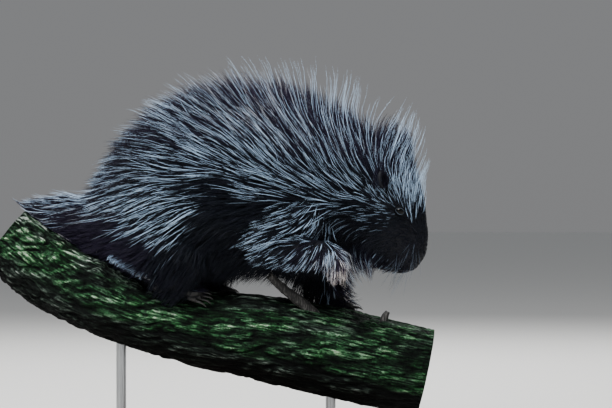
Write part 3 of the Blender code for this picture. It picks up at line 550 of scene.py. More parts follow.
# %% [markdown]
# ## Furrows and moss on the limb
#
# Each pattern is the same smooth noise, stretched to a length along the limb and a width across
# it. Folded at its middle value, it gives thin cracks between flat plates: broad ones 14 mm
# wide, narrow ones 6 mm wide between them. Moss takes the side that is neither under the limb
# nor dried by the sun on top.

# %% Furrows and moss on the limb
# Length along the limb and width across it
SWAY = (0.050, 0.050)
BROAD_PLATES = (0.070, 0.014)
NARROW_PLATES = (0.036, 0.0062)
FINE_CRACKS = (0.012, 0.0032)
MOSS_PATCHES = (0.085, 0.030)
MOSS_STREAKS = (0.045, 0.0075)
SWAY_DEPTH = 0.010
FURROW_DEPTH = 0.0068
PLATE_LEVEL = 0.66
CRACK_SHARPNESS = 2.6
MOSS_TUFT = 0.0036
MOSS_HEIGHT = 0.0022
MOSSY_SIDE = 0.71
MOSSY_SPREAD = 0.25
DARKEST_PAINTED_SHADE = 0.95
PAINTED_HIGHLIGHT_X = -0.34
PAINTED_HIGHLIGHT_REACH = 0.11


def stretched(along, y, z, size, start=0.0):
    """Noise drawn out along the limb to a length and a width."""
    long, wide = size
    return noise(along / long + start, y / wide, z / wide)


def fibres(along, y, z, size):
    """0 on the cracks between plates, 1 on the plates."""
    return np.clip(np.abs(2 * stretched(along, y, z, size, 5) - 1) * CRACK_SHARPNESS, 0, 1)


def moss_on(points, along, lit, narrow):
    """How thick the moss is: streaks in patches on the side that it likes, thin in cracks."""
    x, y, z = points.T
    patch = stretched(along, y, z, MOSS_PATCHES, 3)
    streak = stretched(along, y, z, MOSS_STREAKS)
    band = np.exp(-((lit - MOSSY_SIDE) / MOSSY_SPREAD) ** 2) * (1 + 0.25 * np.tanh(x / 0.1))
    thick = np.clip((0.60 * patch + 0.60 * streak) * band * 2.5 - 0.56, 0, 1) * 2.0
    return np.clip(thick, 0, 1) * np.clip(0.35 + narrow, 0, 1)


def bark_relief(points, out, along):
    """Height of the bark, how open it lies with a painted highlight on the lit top of the left end,
    its moss, and the painted shade of the side turned from the light.
    """
    x, y, z = points.T
    sway = SWAY_DEPTH * stretched(along, y, z, SWAY)
    broad = fibres(along, y + sway, z + sway, BROAD_PLATES)
    narrow = fibres(along + 0.3, y - sway, z + sway, NARROW_PLATES)
    fine = stretched(along, y, z, FINE_CRACKS)
    plates = 0.50 * broad + 0.32 * narrow + 0.18 * fine
    lit = 0.5 + 0.5 * np.clip(out[:, 2] * 0.85 - out[:, 1] * 0.30, -1, 1)
    moss = moss_on(points, along, lit, narrow)
    tufts = noise(x / MOSS_TUFT, y / MOSS_TUFT, z / MOSS_TUFT)
    furrows = FURROW_DEPTH * (plates - PLATE_LEVEL) * (1 - 0.3 * moss)
    height = furrows + moss * MOSS_HEIGHT * (tufts - 0.2)
    # Painted shade: the side turned from the light is darkened, almost to black underneath
    shade = np.clip(1.46 - 2.45 * lit, 0, DARKEST_PAINTED_SHADE)
    # Painted highlight: the lit top of the limb's left end is made paler
    painted_end_highlight = 1 + 0.75 * np.exp(-((x - PAINTED_HIGHLIGHT_X) / PAINTED_HIGHLIGHT_REACH) ** 2) * lit ** 2
    return height, plates * painted_end_highlight, moss * (0.6 + 0.4 * tufts), shade


print("furrows up to", FURROW_DEPTH * 1000, "mm deep")

# %% [markdown]
# ## The limb's mesh
#
# The relief has to be real, because the outline against the floor shows it. So each point of a
# fine tube is pushed out along its radius, 1.7 mm apart along the limb. The two ends take the
# sawn wood, and the numbers for the bark's colours are stored with the points.

# %% The limb's mesh
LIMB_RINGS = 400
LIMB_SIDES = 216
STRAND_LENGTH = 8.0
BURL = (-0.182, -0.040, 0.278)
BURL_REACH = 0.024
BURL_HEIGHT = 0.008


def paint(obj, name, values):
    """Stores a number or a vector for each point of a mesh, for its material to read."""
    values = np.ascontiguousarray(values, np.float32)
    kind, field = ("FLOAT", "value") if values.ndim == 1 else ("FLOAT_VECTOR", "vector")
    made = obj.data.attributes.new(name, kind, "POINT")
    made.data.foreach_set(field, values.ravel())


def make_limb():
    """The limb as one closed mesh with relief, end grain and the numbers its bark reads."""
    ring_places = np.linspace(0.0, limb_shape.end, LIMB_RINGS)
    place = np.repeat(ring_places, LIMB_SIDES)
    angle = np.tile(np.arange(LIMB_SIDES) * math.tau / LIMB_SIDES, LIMB_RINGS)
    points = limb_shape.surface(place, angle)
    centre = blend_rows(limb_shape.rows, place)[:, :3]
    out = unit(points - centre)
    line = centre.reshape(LIMB_RINGS, LIMB_SIDES, 3)[:, 0]
    run = np.concatenate([[0.0], np.cumsum(np.linalg.norm(np.diff(line, axis=0), axis=1))])
    height, open_bark_and_highlight, moss, shade = bark_relief(points, out, np.repeat(run, LIMB_SIDES))
    gap = np.linalg.norm(points - np.array(BURL), axis=1)
    height = height + BURL_HEIGHT * np.exp(-(gap / BURL_REACH) ** 2)
    points = points + out * height[:, None]
    ends = [line[0], line[-1]]
    faces = tube_faces(LIMB_RINGS, LIMB_SIDES)
    limb = mesh_piece("limb_bark", np.concatenate([points, ends]), faces, bark)
    limb.data.materials.append(sawn)
    caps = np.zeros(len(faces), np.int32)
    caps[-2 * LIMB_SIDES:] = 1
    limb.data.polygons.foreach_set("material_index", caps)
    from_heart = np.append(np.linalg.norm(points - centre, axis=1), [0.0, 0.0])
    for name, values in (("open_bark_and_highlight", open_bark_and_highlight), ("moss", moss), ("shade", shade)):
        paint(limb, name, np.append(values, [0.5, 0.5]))
    drawn_out = np.column_stack([np.repeat(run, LIMB_SIDES) / STRAND_LENGTH, points - centre])
    paint(limb, "strand", np.concatenate([drawn_out[:, [0, 2, 3]], np.zeros((2, 3))]))
    paint(limb, "from_heart", from_heart)
    face_outward(limb)
    limb.data.set_sharp_from_angle(angle=math.radians(70))
    return limb


limb = make_limb()
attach(limb, "root")
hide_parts("perch_limb")
print("limb:", len(limb.data.polygons), "triangles")

# %% [markdown]
# ## The snapped twig
#
# A dead side twig leans back from the limb. Its bark has gone, so it is smoother and paler than
# the limb, with drying checks along it and a torn end. It is the same kind of tube, with a
# ragged last ring.

# %% The snapped twig
TWIG = (
    ((0.166, -0.030, 0.200), 0.0105), ((0.140, -0.034, 0.226), 0.0088),
    ((0.108, -0.046, 0.252), 0.0072), ((0.088, -0.054, 0.271), 0.0055),
)
TWIG_RINGS = 60
TWIG_SIDES = 32

dead_wood, tree, shader = new_material("weathered_dead_wood", roughness=0.8)
place = add(tree, "TexCoord")
lean = add(tree, "Mapping", {"Vector": place.outputs["Object"],
                             "Rotation": (0.0, math.radians(-42), 0.0),
                             "Scale": (420.0, 420.0, 50.0)})
checks = add(tree, "TexNoise", {"Vector": lean.outputs[0], "Scale": 1.0, "Detail": 6.0})
grey = add(tree, "ValToRGB", {"Fac": checks.outputs["Fac"]}, stops=(
    (0.34, "050505"), (0.52, "171615"), (0.78, "5F5D5B")))
splits = add(tree, "Bump", {"Height": checks.outputs["Fac"], "Strength": 0.5, "Distance": 0.001})
feed(tree, shader, {"Base Color": grey.outputs[0], "Normal": splits.outputs[0]})

twig_shape = Tube([(centre, radius, radius) for centre, radius in TWIG])
twig = tube("twig", twig_shape, TWIG_RINGS, TWIG_SIDES, dead_wood)
points = vertex_array(twig)
last_ring = slice((TWIG_RINGS - 1) * TWIG_SIDES, TWIG_RINGS * TWIG_SIDES)
torn = noise(np.arange(TWIG_SIDES) * 0.9, np.zeros(TWIG_SIDES), np.zeros(TWIG_SIDES))
points[last_ring] += unit(np.array([[-0.52, -0.2, 0.6]])) * (0.006 * torn[:, None] - 0.003)
points += (noise(*(points.T / 0.006))[:, None] - 0.5) * 0.0012
move_vertices(twig, points)
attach(twig, "root")
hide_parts("perch_twig")
print("twig:", len(twig.data.polygons), "triangles")

# %% [markdown]
# ## The stub of another twig
#
# Further down the limb a smaller twig broke off short, and only its stub stands in the moss. It
# is dead wood as well, so the same tube and the same material serve, with three stations.

# %% The stub of another twig
STUB = (
    ((0.268, -0.016, 0.188), 0.0075), ((0.271, -0.017, 0.204), 0.0060),
    ((0.276, -0.018, 0.213), 0.0036),
)
STUB_RINGS = 24
STUB_SIDES = 20
stub_shape = Tube([(centre, radius, radius) for centre, radius in STUB])
stub = tube("twig_stub", stub_shape, STUB_RINGS, STUB_SIDES, dead_wood)
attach(stub, "root")
print("stub:", len(stub.data.polygons), "triangles")

# %% [markdown]
# ## Varnished board and brushed steel
#
# The base is a stained hardwood board under satin varnish. Its grain runs along it, so the
# noise is drawn out that way, and the varnish is a thin clear coat over it. The rods are steel
# brushed round and round, which leaves fine scratches and spreads the highlight. A metal keeps
# the default index.

# %% Varnished board and brushed steel
stained, tree, shader = new_material("stained_hardwood_satin_varnish", roughness=0.32)
place = add(tree, "TexCoord")
board = add(tree, "Mapping", {"Vector": place.outputs["Object"], "Scale": (3.0, 40.0, 40.0)})
figure = add(tree, "TexNoise", {"Vector": board.outputs[0], "Scale": 2.2, "Detail": 8.0,
                                "Distortion": 0.6})
wood = add(tree, "ValToRGB", {"Fac": figure.outputs["Fac"]}, stops=(
    (0.25, "2A150B"), (0.50, "4A2A17"), (0.78, "6E4526")))
pores = add(tree, "Bump", {"Height": figure.outputs["Fac"], "Strength": 0.12, "Distance": 0.0006})
feed(tree, shader, {"Base Color": wood.outputs[0], "Normal": pores.outputs[0],
                    "Coat Weight": 0.35, "Coat Roughness": 0.25})

steel, tree, shader = new_material("brushed_steel", roughness=0.34, metallic=1.0)
place = add(tree, "TexCoord")
brush = add(tree, "Mapping", {"Vector": place.outputs["Object"], "Scale": (900.0, 900.0, 25.0)})
lines = add(tree, "TexNoise", {"Vector": brush.outputs[0], "Scale": 1.0, "Detail": 3.0})
shade = add(tree, "ValToRGB", {"Fac": lines.outputs["Fac"]}, stops=(
    (0.3, "8E9092"), (0.7, "B4B6B8")))
scratch = add(tree, "Bump", {"Height": lines.outputs["Fac"], "Strength": 0.15, "Distance": 0.0003})
feed(tree, shader, {"Base Color": shade.outputs[0], "Normal": scratch.outputs[0]})
print("materials so far:", len(bpy.data.materials))

# %% [markdown]
# ## The display stand
#
# The solids of base and rods already have the right shape, so they only take a finish. Small
# turned collars cover the holes where the rods enter the board, as a case maker would fit them.
# A collar is a short profile spun round the rod.

# %% The display stand
COLLAR = ((0.0085, 0.0), (0.0140, 0.0), (0.0140, 0.0022), (0.0112, 0.0046), (0.0085, 0.0050))
COLLAR_SIDES = 48


def make_collar(name, x, z):
    """A turned ring: its profile, radius and height, spun round the rod."""
    turn = np.arange(COLLAR_SIDES) * math.tau / COLLAR_SIDES
    rings = [
        np.stack([x + r * np.cos(turn), r * np.sin(turn), np.full(COLLAR_SIDES, z + h)], 1)
        for r, h in COLLAR
    ]
    faces = [
        ring_faces(ring * COLLAR_SIDES, (ring + 1) % len(COLLAR) * COLLAR_SIDES, COLLAR_SIDES)
        for ring in range(len(COLLAR))
    ]
    collar = mesh_piece(name, np.concatenate(rings), np.concatenate(faces), steel)
    face_outward(collar)
    collar.data.set_sharp_from_angle(angle=math.radians(30))
    return collar


def refinish(name, material):
    """Gives a solid of the frame a better material."""
    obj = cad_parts[name]
    obj.data.materials.clear()
    obj.data.materials.append(material)


refinish("stand_base", stained)
base_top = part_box("stand_base")[1].z
for number in (1, 2):
    rod = f"stand_rod_{number}"
    refinish(rod, steel)
    low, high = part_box(rod)
    collar = make_collar(f"rod_collar_{number}", (low.x + high.x) / 2, base_top)
    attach(collar, "root")
print("base top at", round(base_top * 1000, 1), "mm")

# %% [markdown]
# ## Dark hide with plush
#
# The skin under the coat is dark, and on the muzzle it is covered in plush that lies flat. Those
# hairs are too fine to be made one by one, so they are drawn as a fine bump with a faint sheen.

# %% Dark hide with plush
hide_finish, tree, shader = new_material("dark_hide_with_short_plush", roughness=0.6)
place = add(tree, "TexCoord")
plush = add(tree, "TexNoise", {"Vector": place.outputs["Object"], "Scale": 900.0, "Detail": 3.0})
cloud = add(tree, "TexNoise", {"Vector": place.outputs["Object"], "Scale": 40.0, "Detail": 2.0})
black = add(tree, "ValToRGB", {"Fac": plush.outputs["Fac"]}, stops=(
    (0.35, "030408"), (0.70, "10121D")))
uneven = add(tree, "Mix", {0: cloud.outputs["Fac"], 6: black.outputs[0], 7: linear("07080E")},
             data_type="RGBA")
nap = add(tree, "Bump", {"Height": plush.outputs["Fac"], "Strength": 0.6, "Distance": 0.0008})
feed(tree, shader, {"Base Color": uneven.outputs[2], "Normal": nap.outputs[0],
                    "Specular IOR Level": 0.16, "Sheen Weight": 0.06, "Sheen Roughness": 0.4,
                    "Sheen Tint": linear("8E9CC4")})
print("plush about", round(1000 / 900, 1), "mm apart")

# %% [markdown]
# ## The hide
#
# Under the coat lies one hide from nose to tail. It is sculpted as separate tubes for trunk and
# legs, melted into one skin and smoothed, so that no seam shows where a leg leaves the body.

# %% The hide
LEG_COAT = 0.003
HIND_LEG = (
    ((-0.088, 0.030, 0.372), 0.054, 0.050), ((-0.070, 0.050, 0.334), 0.060, 0.044),
    ((-0.056, 0.058, 0.302), 0.050, 0.037), ((-0.060, 0.054, 0.274), 0.036, 0.028),
    ((-0.074, 0.042, 0.250), 0.024, 0.021),
)
FAR_HIND_SHIFT = 0.046
LIMB_SLOPE = 0.12
FORE_LEG_PLANTED = (
    ((0.170, 0.040, 0.372), 0.044, 0.034), ((0.166, 0.056, 0.322), 0.040, 0.030),
    ((0.168, 0.056, 0.280), 0.035, 0.027), ((0.182, 0.048, 0.249), 0.027, 0.022),
    ((0.196, 0.040, 0.224), 0.018, 0.017),
)
UPPER_ARM_RAISED = (
    ((0.168, -0.046, 0.386), 0.044, 0.034), ((0.128, -0.068, 0.354), 0.040, 0.030),
    ((0.090, -0.080, 0.332), 0.030, 0.026), ((0.070, -0.083, 0.322), 0.016, 0.015),
)
FOREARM_RAISED = (
    ((0.066, -0.083, 0.322), 0.013, 0.014), ((0.088, -0.085, 0.315), 0.023, 0.023),
    ((0.130, -0.087, 0.311), 0.023, 0.022), ((0.168, -0.086, 0.311), 0.019, 0.018),
    ((0.186, -0.085, 0.306), 0.015, 0.015),
)
HIDE_VOXEL = 0.0028


def hind_leg(side, shift):
    """A hind leg on one side. The far one stands further forward, and lower on the slope."""
    return Tube([
        ((x + shift, y * side, z - shift * LIMB_SLOPE), deep, wide)
        for (x, y, z), deep, wide in HIND_LEG
    ], LEG_COAT)


LEGS = {
    "hind_leg_right": hind_leg(-1, 0.0),
    "hind_leg_left": hind_leg(1, FAR_HIND_SHIFT),
    "fore_leg_left": Tube(FORE_LEG_PLANTED, LEG_COAT),
    "upper_arm_right": Tube(UPPER_ARM_RAISED, LEG_COAT),
    "forearm_right": Tube(FOREARM_RAISED, LEG_COAT),
}


def ellipsoid(name, centre, sizes, axes, material, detail=3):
    """A closed ball stretched along three axes."""
    grid = bmesh.new()
    bmesh.ops.create_icosphere(grid, subdivisions=detail, radius=1.0)
    for vertex in grid.verts:
        local = vertex.co.copy()
        vertex.co = centre + sum((axis * c * size for axis, c, size in zip(axes, local, sizes)),
                                 Vector((0, 0, 0)))
    mesh = bpy.data.meshes.new(name)
    grid.to_mesh(mesh)
    grid.free()
    mesh.shade_smooth()
    mesh.materials.append(material)
    obj = bpy.data.objects.new(name, mesh)
    bpy.context.scene.collection.objects.link(obj)
    face_outward(obj)
    return obj


LEVEL_AXES = (Vector((1, 0, 0)), Vector((0, 1, 0)), Vector((0, 0, 1)))
CHIN_CENTRE = Vector((0.272, 0.0, 0.290))
CHIN_SIZE = (0.019, 0.015, 0.012)

parts = [tube("trunk", body, 150, 72, hide_finish)]
parts += [tube(name, shape, 40, 32, hide_finish) for name, shape in LEGS.items()]
parts.append(ellipsoid("chin", CHIN_CENTRE, CHIN_SIZE, LEVEL_AXES, hide_finish))
hide = remesh(joined("hide", parts), HIDE_VOXEL, 6)
print("hide:", len(hide.data.polygons), "faces before the face is carved")

# %% [markdown]
# ## Wet eye and bare lid
#
# A living eye is wet. Its finish is nearly smooth, almost black, and has the index of a cornea,
# 1.376. The lid is bare dry skin with fine creases. Its edge is painted paler, a painted
# highlight where light catches the rim, and a number that the lid's mesh carries says how near a
# point lies to that edge.

# %% Wet eye and bare lid
eye_finish, tree, shader = new_material("wet_dark_eye", roughness=0.10, ior=1.376)
feed(tree, shader, {"Base Color": linear("020202"), "Specular IOR Level": 0.20})

lid_finish, tree, shader = new_material("bare_eyelid_skin", roughness=0.7)
edge = add(tree, "Attribute", attribute_name="edge")
# Painted highlight: the lid's edge is pale, as where light catches the rim
painted_rim_highlight = add(tree, "ValToRGB", {"Fac": edge.outputs["Fac"]}, stops=(
    (0.0, "030408"), (0.55, "07080D"), (1.0, "4A5561")))
crease = add(tree, "TexNoise", {"Scale": 1400.0, "Detail": 2.0})
creased = add(tree, "Bump", {"Height": crease.outputs["Fac"], "Strength": 0.4, "Distance": 0.0005})
feed(tree, shader, {"Base Color": painted_rim_highlight.outputs[0], "Normal": creased.outputs[0],
                    "Specular IOR Level": 0.12})
print("lid creases about", round(1000 / 1400, 1), "mm apart")

# %% [markdown]
# ## Eyes and lids
#
# The small dark eye sits on the side of the head with a low lid over and under it. A lid could
# be cut into the hide, but the hide's faces are too coarse for so thin an edge. So it is a
# patch of a ball a little larger than the eye, with an almond opening whose edge turns in.

# %% Eyes and lids
EYE_ROW = 15.35
EYE_ANGLE = 70.0
EYE_RADIUS = 0.0072
EYE_DEPTH = 0.0036
LID_OPEN_ALONG = math.radians(72)
LID_OPEN_ACROSS = math.radians(40)
CORNER_SHARPNESS = 1.45
LID_REACH = math.radians(88)
LID_RINGS = 14
LID_SIDES = 48
LID_EDGE = 0.99
LID_LIFT = 1.07
LID_SPREAD = 0.07
LID_WALL = 0.0006


def eye_frame(side):
    """Centre of an eye and its axes: along the slit, up, and out of the head."""
    point, out = spot_on(core, EYE_ROW, EYE_ANGLE, side)
    centre = point - out * EYE_DEPTH
    out = (out + Vector((-0.1, side * 0.8, -0.1))).normalized()
    along = Vector((0.95, 0.0, -0.30))
    along = (along - out * along.dot(out)).normalized()
    return centre, along, out.cross(along) * side, out


def make_lids(name, centre, along, up, out):
    """A cap round the eye with an almond opening. Its edge turns in to touch the eye."""
    turn = np.arange(LID_SIDES) * math.tau / LID_SIDES
    wide = (np.abs(np.cos(turn)) / LID_OPEN_ALONG) ** CORNER_SHARPNESS
    high = (np.abs(np.sin(turn)) / LID_OPEN_ACROSS) ** CORNER_SHARPNESS
    open_angle = (wide + high) ** (-1 / CORNER_SHARPNESS)
    rings = []
    edges = []
    for ring in range(LID_RINGS):
        share = max(0.0, (ring - 1) / (LID_RINGS - 2))
        away = open_angle + (LID_REACH - open_angle) * share
        lift = LID_EDGE if ring == 0 else LID_LIFT + LID_SPREAD * share
        radius = EYE_RADIUS * lift
        rings.append(
            np.array(centre)
            + np.outer(np.cos(turn) * np.sin(away) * radius, np.array(along))
            + np.outer(np.sin(turn) * np.sin(away) * radius, np.array(up))
            + np.outer(np.cos(away) * radius, np.array(out))
        )
        edges.append(np.full(LID_SIDES, 1 - share))
    faces = [
        ring_faces(ring * LID_SIDES, (ring + 1) * LID_SIDES, LID_SIDES)
        for ring in range(LID_RINGS - 1)
    ]
    lids = mesh_piece(name, np.concatenate(rings), np.concatenate(faces), lid_finish)
    paint(lids, "edge", np.concatenate(edges) ** 6)
    wall = lids.modifiers.new("thickness", "SOLIDIFY")
    wall.thickness = LID_WALL
    wall.offset = -1.0
    return lids


eyes = {}
for side, name in ((-1, "right"), (1, "left")):
    centre, along, up, out = eye_frame(side)
    eyes[name] = (centre, out)
    ball = ellipsoid(f"eyeball_{name}", centre, (EYE_RADIUS,) * 3, LEVEL_AXES, eye_finish, 4)
    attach(ball, "root")
    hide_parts(f"eye_{name}")
    lids = make_lids(f"eyelids_{name}", centre, along, up, out)
    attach(lids, "root")
print("eye centres:", [[round(c, 4) for c in centre] for centre, _ in eyes.values()])

# %% [markdown]
# ## Nostrils, mouth and eye sockets
#
# A porcupine's muzzle is blunt and furry, with two slit nostrils near the tip and a mouth line
# that curls round under it. They are shallow, so they are pressed into the hide as soft dents,
# after the muzzle's faces have been cut finer. Round each eye the hide is drawn in behind the
# ball, to let the lids through.

# %% The face pressed into the hide
NOSTRIL_ROW = 19.6
NOSTRIL_ANGLE = 24.0
NOSTRIL_REACH = 0.0032
NOSTRIL_DEPTH = 0.0052
NOSTRIL_RIM = 0.0012
MOUTH_LINE = ((20.7, 178), (20.1, 166), (19.3, 146), (18.5, 124), (18.0, 112))
MOUTH_REACH = 0.0016
MOUTH_DEPTH = 0.0006
MUZZLE_REACH = 0.050
SOCKET_REACH = 0.012
SOCKET_RIM = 0.0006


def refine_near(obj, centres, reach):
    """Cuts each face near the centres into four."""
    grid = bmesh.new()
    grid.from_mesh(obj.data)
    chosen = [
        edge for edge in grid.edges
        if any((edge.verts[0].co - centre).length < reach for centre in centres)
    ]
    bmesh.ops.subdivide_edges(grid, edges=chosen, cuts=1, use_grid_fill=True)
    bmesh.ops.triangulate(grid, faces=grid.faces)
    grid.to_mesh(obj.data)
    grid.free()
    obj.data.shade_smooth()


def press(points, normals, centre, reach, depth):
    """Moves points near a centre along their normals, most at the centre."""
    gap = np.linalg.norm(points - np.array(centre), axis=1)
    return points - normals * (depth * np.exp(-(gap / reach) ** 2))[:, None]


nose_tip, _ = spot_on(body, 19.5, 60)
refine_near(hide, [Vector((nose_tip.x, 0.0, nose_tip.z))], MUZZLE_REACH)
refine_near(hide, [centre for centre, _ in eyes.values()], SOCKET_REACH * 1.4)
points = vertex_array(hide)
normals = vertex_array(hide, "normal")
for side in (-1, 1):
    nostril, _ = spot_on(body, NOSTRIL_ROW, NOSTRIL_ANGLE, side)
    points = press(points, normals, nostril, NOSTRIL_REACH * 2.2, -NOSTRIL_RIM)
    points = press(points, normals, nostril, NOSTRIL_REACH, NOSTRIL_DEPTH)
    line_places = np.linspace(0, len(MOUTH_LINE) - 1, 40)
    for place, degrees in blend_rows(np.array(MOUTH_LINE, float), line_places):
        spot, _ = spot_on(body, place, degrees, side)
        points = press(points, normals, spot, MOUTH_REACH, MOUTH_DEPTH)
for centre, out in eyes.values():
    gap = np.linalg.norm(points - np.array(centre), axis=1)
    around = np.exp(-(gap / SOCKET_REACH) ** 2)
    points = points + np.array(out) * (SOCKET_RIM * around)[:, None]
    inside = gap < EYE_RADIUS * 1.08
    points[inside] = np.array(centre) - np.array(out) * EYE_RADIUS * 0.4 + (
        points[inside] - np.array(centre)) * 0.6
move_vertices(hide, points)
hide.data.update()
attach(hide, "root")
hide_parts("torso", "neck", "head", "tail", "hind_leg_right", "hind_leg_left",
            "fore_leg_left", "fore_leg_right")
print("hide:", len(hide.data.polygons), "faces")

# %% [markdown]
# ## Ears
#
# A porcupine's ear is a small round cup almost lost in the coat. It is a flattened ball with a
# hollow pressed into its front, made from the sizes and the place of its solid.

# %% Ears
EAR_ROW = 13.7
EAR_ANGLE = 62.0
EAR_HEIGHT = 0.030
EAR_WIDTH = 0.024
EAR_THICKNESS = 0.009


def ear_axes(side):
    """Centre of an ear and its axes: across the cup, the way it faces, and up."""
    point, out = spot_on(core, EAR_ROW, EAR_ANGLE, side)
    up = Vector((-0.30, 0.0, 0.95))
    up = (up - out * up.dot(out) * 0.35 + out * 0.35).normalized()
    facing = (out * 0.75 + Vector((0.65, 0.0, 0.0))).normalized()
    facing = (facing - up * facing.dot(up)).normalized()
    return point + up * EAR_HEIGHT * 0.24, up.cross(facing), facing, up


def make_ear(name, side):
    """One ear: a flattened ball with a hollow in the side that faces forward."""
    centre, breadth, facing, up = ear_axes(side)
    ear = ellipsoid(name, centre, (EAR_WIDTH / 2, EAR_THICKNESS * 0.75, EAR_HEIGHT / 2),
                    (breadth, facing, up), hide_finish, 5)
    points = vertex_array(ear)
    local = points - np.array(centre)
    across = local @ np.array(breadth) / (EAR_WIDTH * 0.40)
    high = local @ np.array(up) / (EAR_HEIGHT * 0.40)
    front = local @ np.array(facing) > 0
    hollow = np.clip(1 - across ** 2 - high ** 2, 0, 1) ** 0.5 * front
    points -= np.outer(hollow * EAR_THICKNESS * 1.0, np.array(facing))
    move_vertices(ear, points)
    return ear


ears = []
ear_shapes = {}
for side, name in ((-1, "right"), (1, "left")):
    ear = make_ear(f"ear_cup_{name}", side)
    ears.append(ear)
    centre, _, _, up = ear_axes(side)
    ear_shapes[name] = Tube([
        (centre + up * EAR_HEIGHT * high, EAR_WIDTH * 0.42 * wide, EAR_THICKNESS * 0.6 * wide)
        for high, wide in ((-0.45, 0.8), (0.0, 1.0), (0.30, 0.85), (0.48, 0.4))
    ])
    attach(ear, "root")
    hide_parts(f"ear_{name}")
print("ears", EAR_HEIGHT * 1000, "mm high")

# %% [markdown]
# ## Foot skin and claw horn
#
# The soles are naked and pebbled, for grip on bark: small beads of skin 1.6 mm apart, which a
# cell pattern gives as colour and bump. The claws are horn, dark at the root and paler at the
# tip, and smoother than the skin. Horn is keratin, with an index near 1.54.

# %% Foot skin and claw horn
foot_finish, tree, shader = new_material("pebbled_bare_foot_skin", roughness=0.55)
place = add(tree, "TexCoord")
pebbles = add(tree, "TexVoronoi", {"Vector": place.outputs["Object"], "Scale": 620.0})
hollow = add(tree, "ValToRGB", {"Fac": pebbles.outputs["Distance"]}, stops=(
    (0.0, "14110F"), (0.6, "080707")))
beads = add(tree, "Bump", {"Height": pebbles.outputs["Distance"], "Strength": 0.5,
                           "Distance": 0.0006}, invert=True)
feed(tree, shader, {"Base Color": hollow.outputs[0], "Normal": beads.outputs[0]})

claw_finish, tree, shader = new_material("claw_horn", roughness=0.3, ior=1.54)
reach = add(tree, "Attribute", attribute_name="along")
horn = add(tree, "ValToRGB", {"Fac": reach.outputs["Fac"]}, stops=(
    (0.0, "040404"), (0.45, "0A0908"), (1.0, "1D1A17")))
feed(tree, shader, {"Base Color": horn.outputs[0]})
print("beads of the sole about", round(1000 / 620, 1), "mm apart")

# %% [markdown]
# ## Feet and claws
#
# A foot is a flat pad with a fan of toes, five behind and four in front, and each toe ends in a
# long curved claw. Pad and toes are tubes melted into one skin, as the hide is. The claws stay
# pieces of their own, because real ones meet the skin at a sharp edge. The planted feet are
# dropped on the solid limb, so that they stand on it and not in it.

# %% Feet
HIND_SOLE = 0.088
FORE_SOLE = 0.052
HIND_FOOT_X = -0.098
FORE_FOOT_X = 0.170
FOOT_OFF_CENTRE = 0.033
FOOT_HALF_HEIGHT = 0.0125
FOOT_HALF_WIDTH = 0.0185
TOE_RADIUS = 0.0052
TOE_LENGTH = 0.017
TOE_SPREAD = 0.28
CLAW_RADIUS = 0.0024
CLAW_LENGTH = 0.019
CLAW_RINGS = 16
CLAW_SIDES = 12
HIND_TOES = 5
FORE_TOES = 4
RAISED_SOLE_SHARE = 0.72
WRIST_TO_HEEL = Vector((-0.004, 0.0, 0.003))
PAW_HANGS = Vector((0.52, 0.02, -0.85)).normalized()
PAW_BACK = Vector((0.85, -0.10, 0.52))
FOOT_VOXEL = 0.0012


def toe_stations(heel, forward, up, side, length, share):
    """Where a toe starts, its knuckle, its tip and the way it points."""
    start = heel + forward * length * (0.72 - 0.06 * share * share)
    start += side * share * FOOT_HALF_WIDTH * 0.76 - up * FOOT_HALF_HEIGHT * 0.25
    ahead = (forward + side * share * TOE_SPREAD).normalized()
    reach = TOE_LENGTH * (1 - 0.18 * abs(share))
    knuckle = start + ahead * reach * 0.6 + up * TOE_RADIUS * 0.25
    return start, knuckle, start + ahead * reach - up * TOE_RADIUS * 0.2, ahead


pads = {}


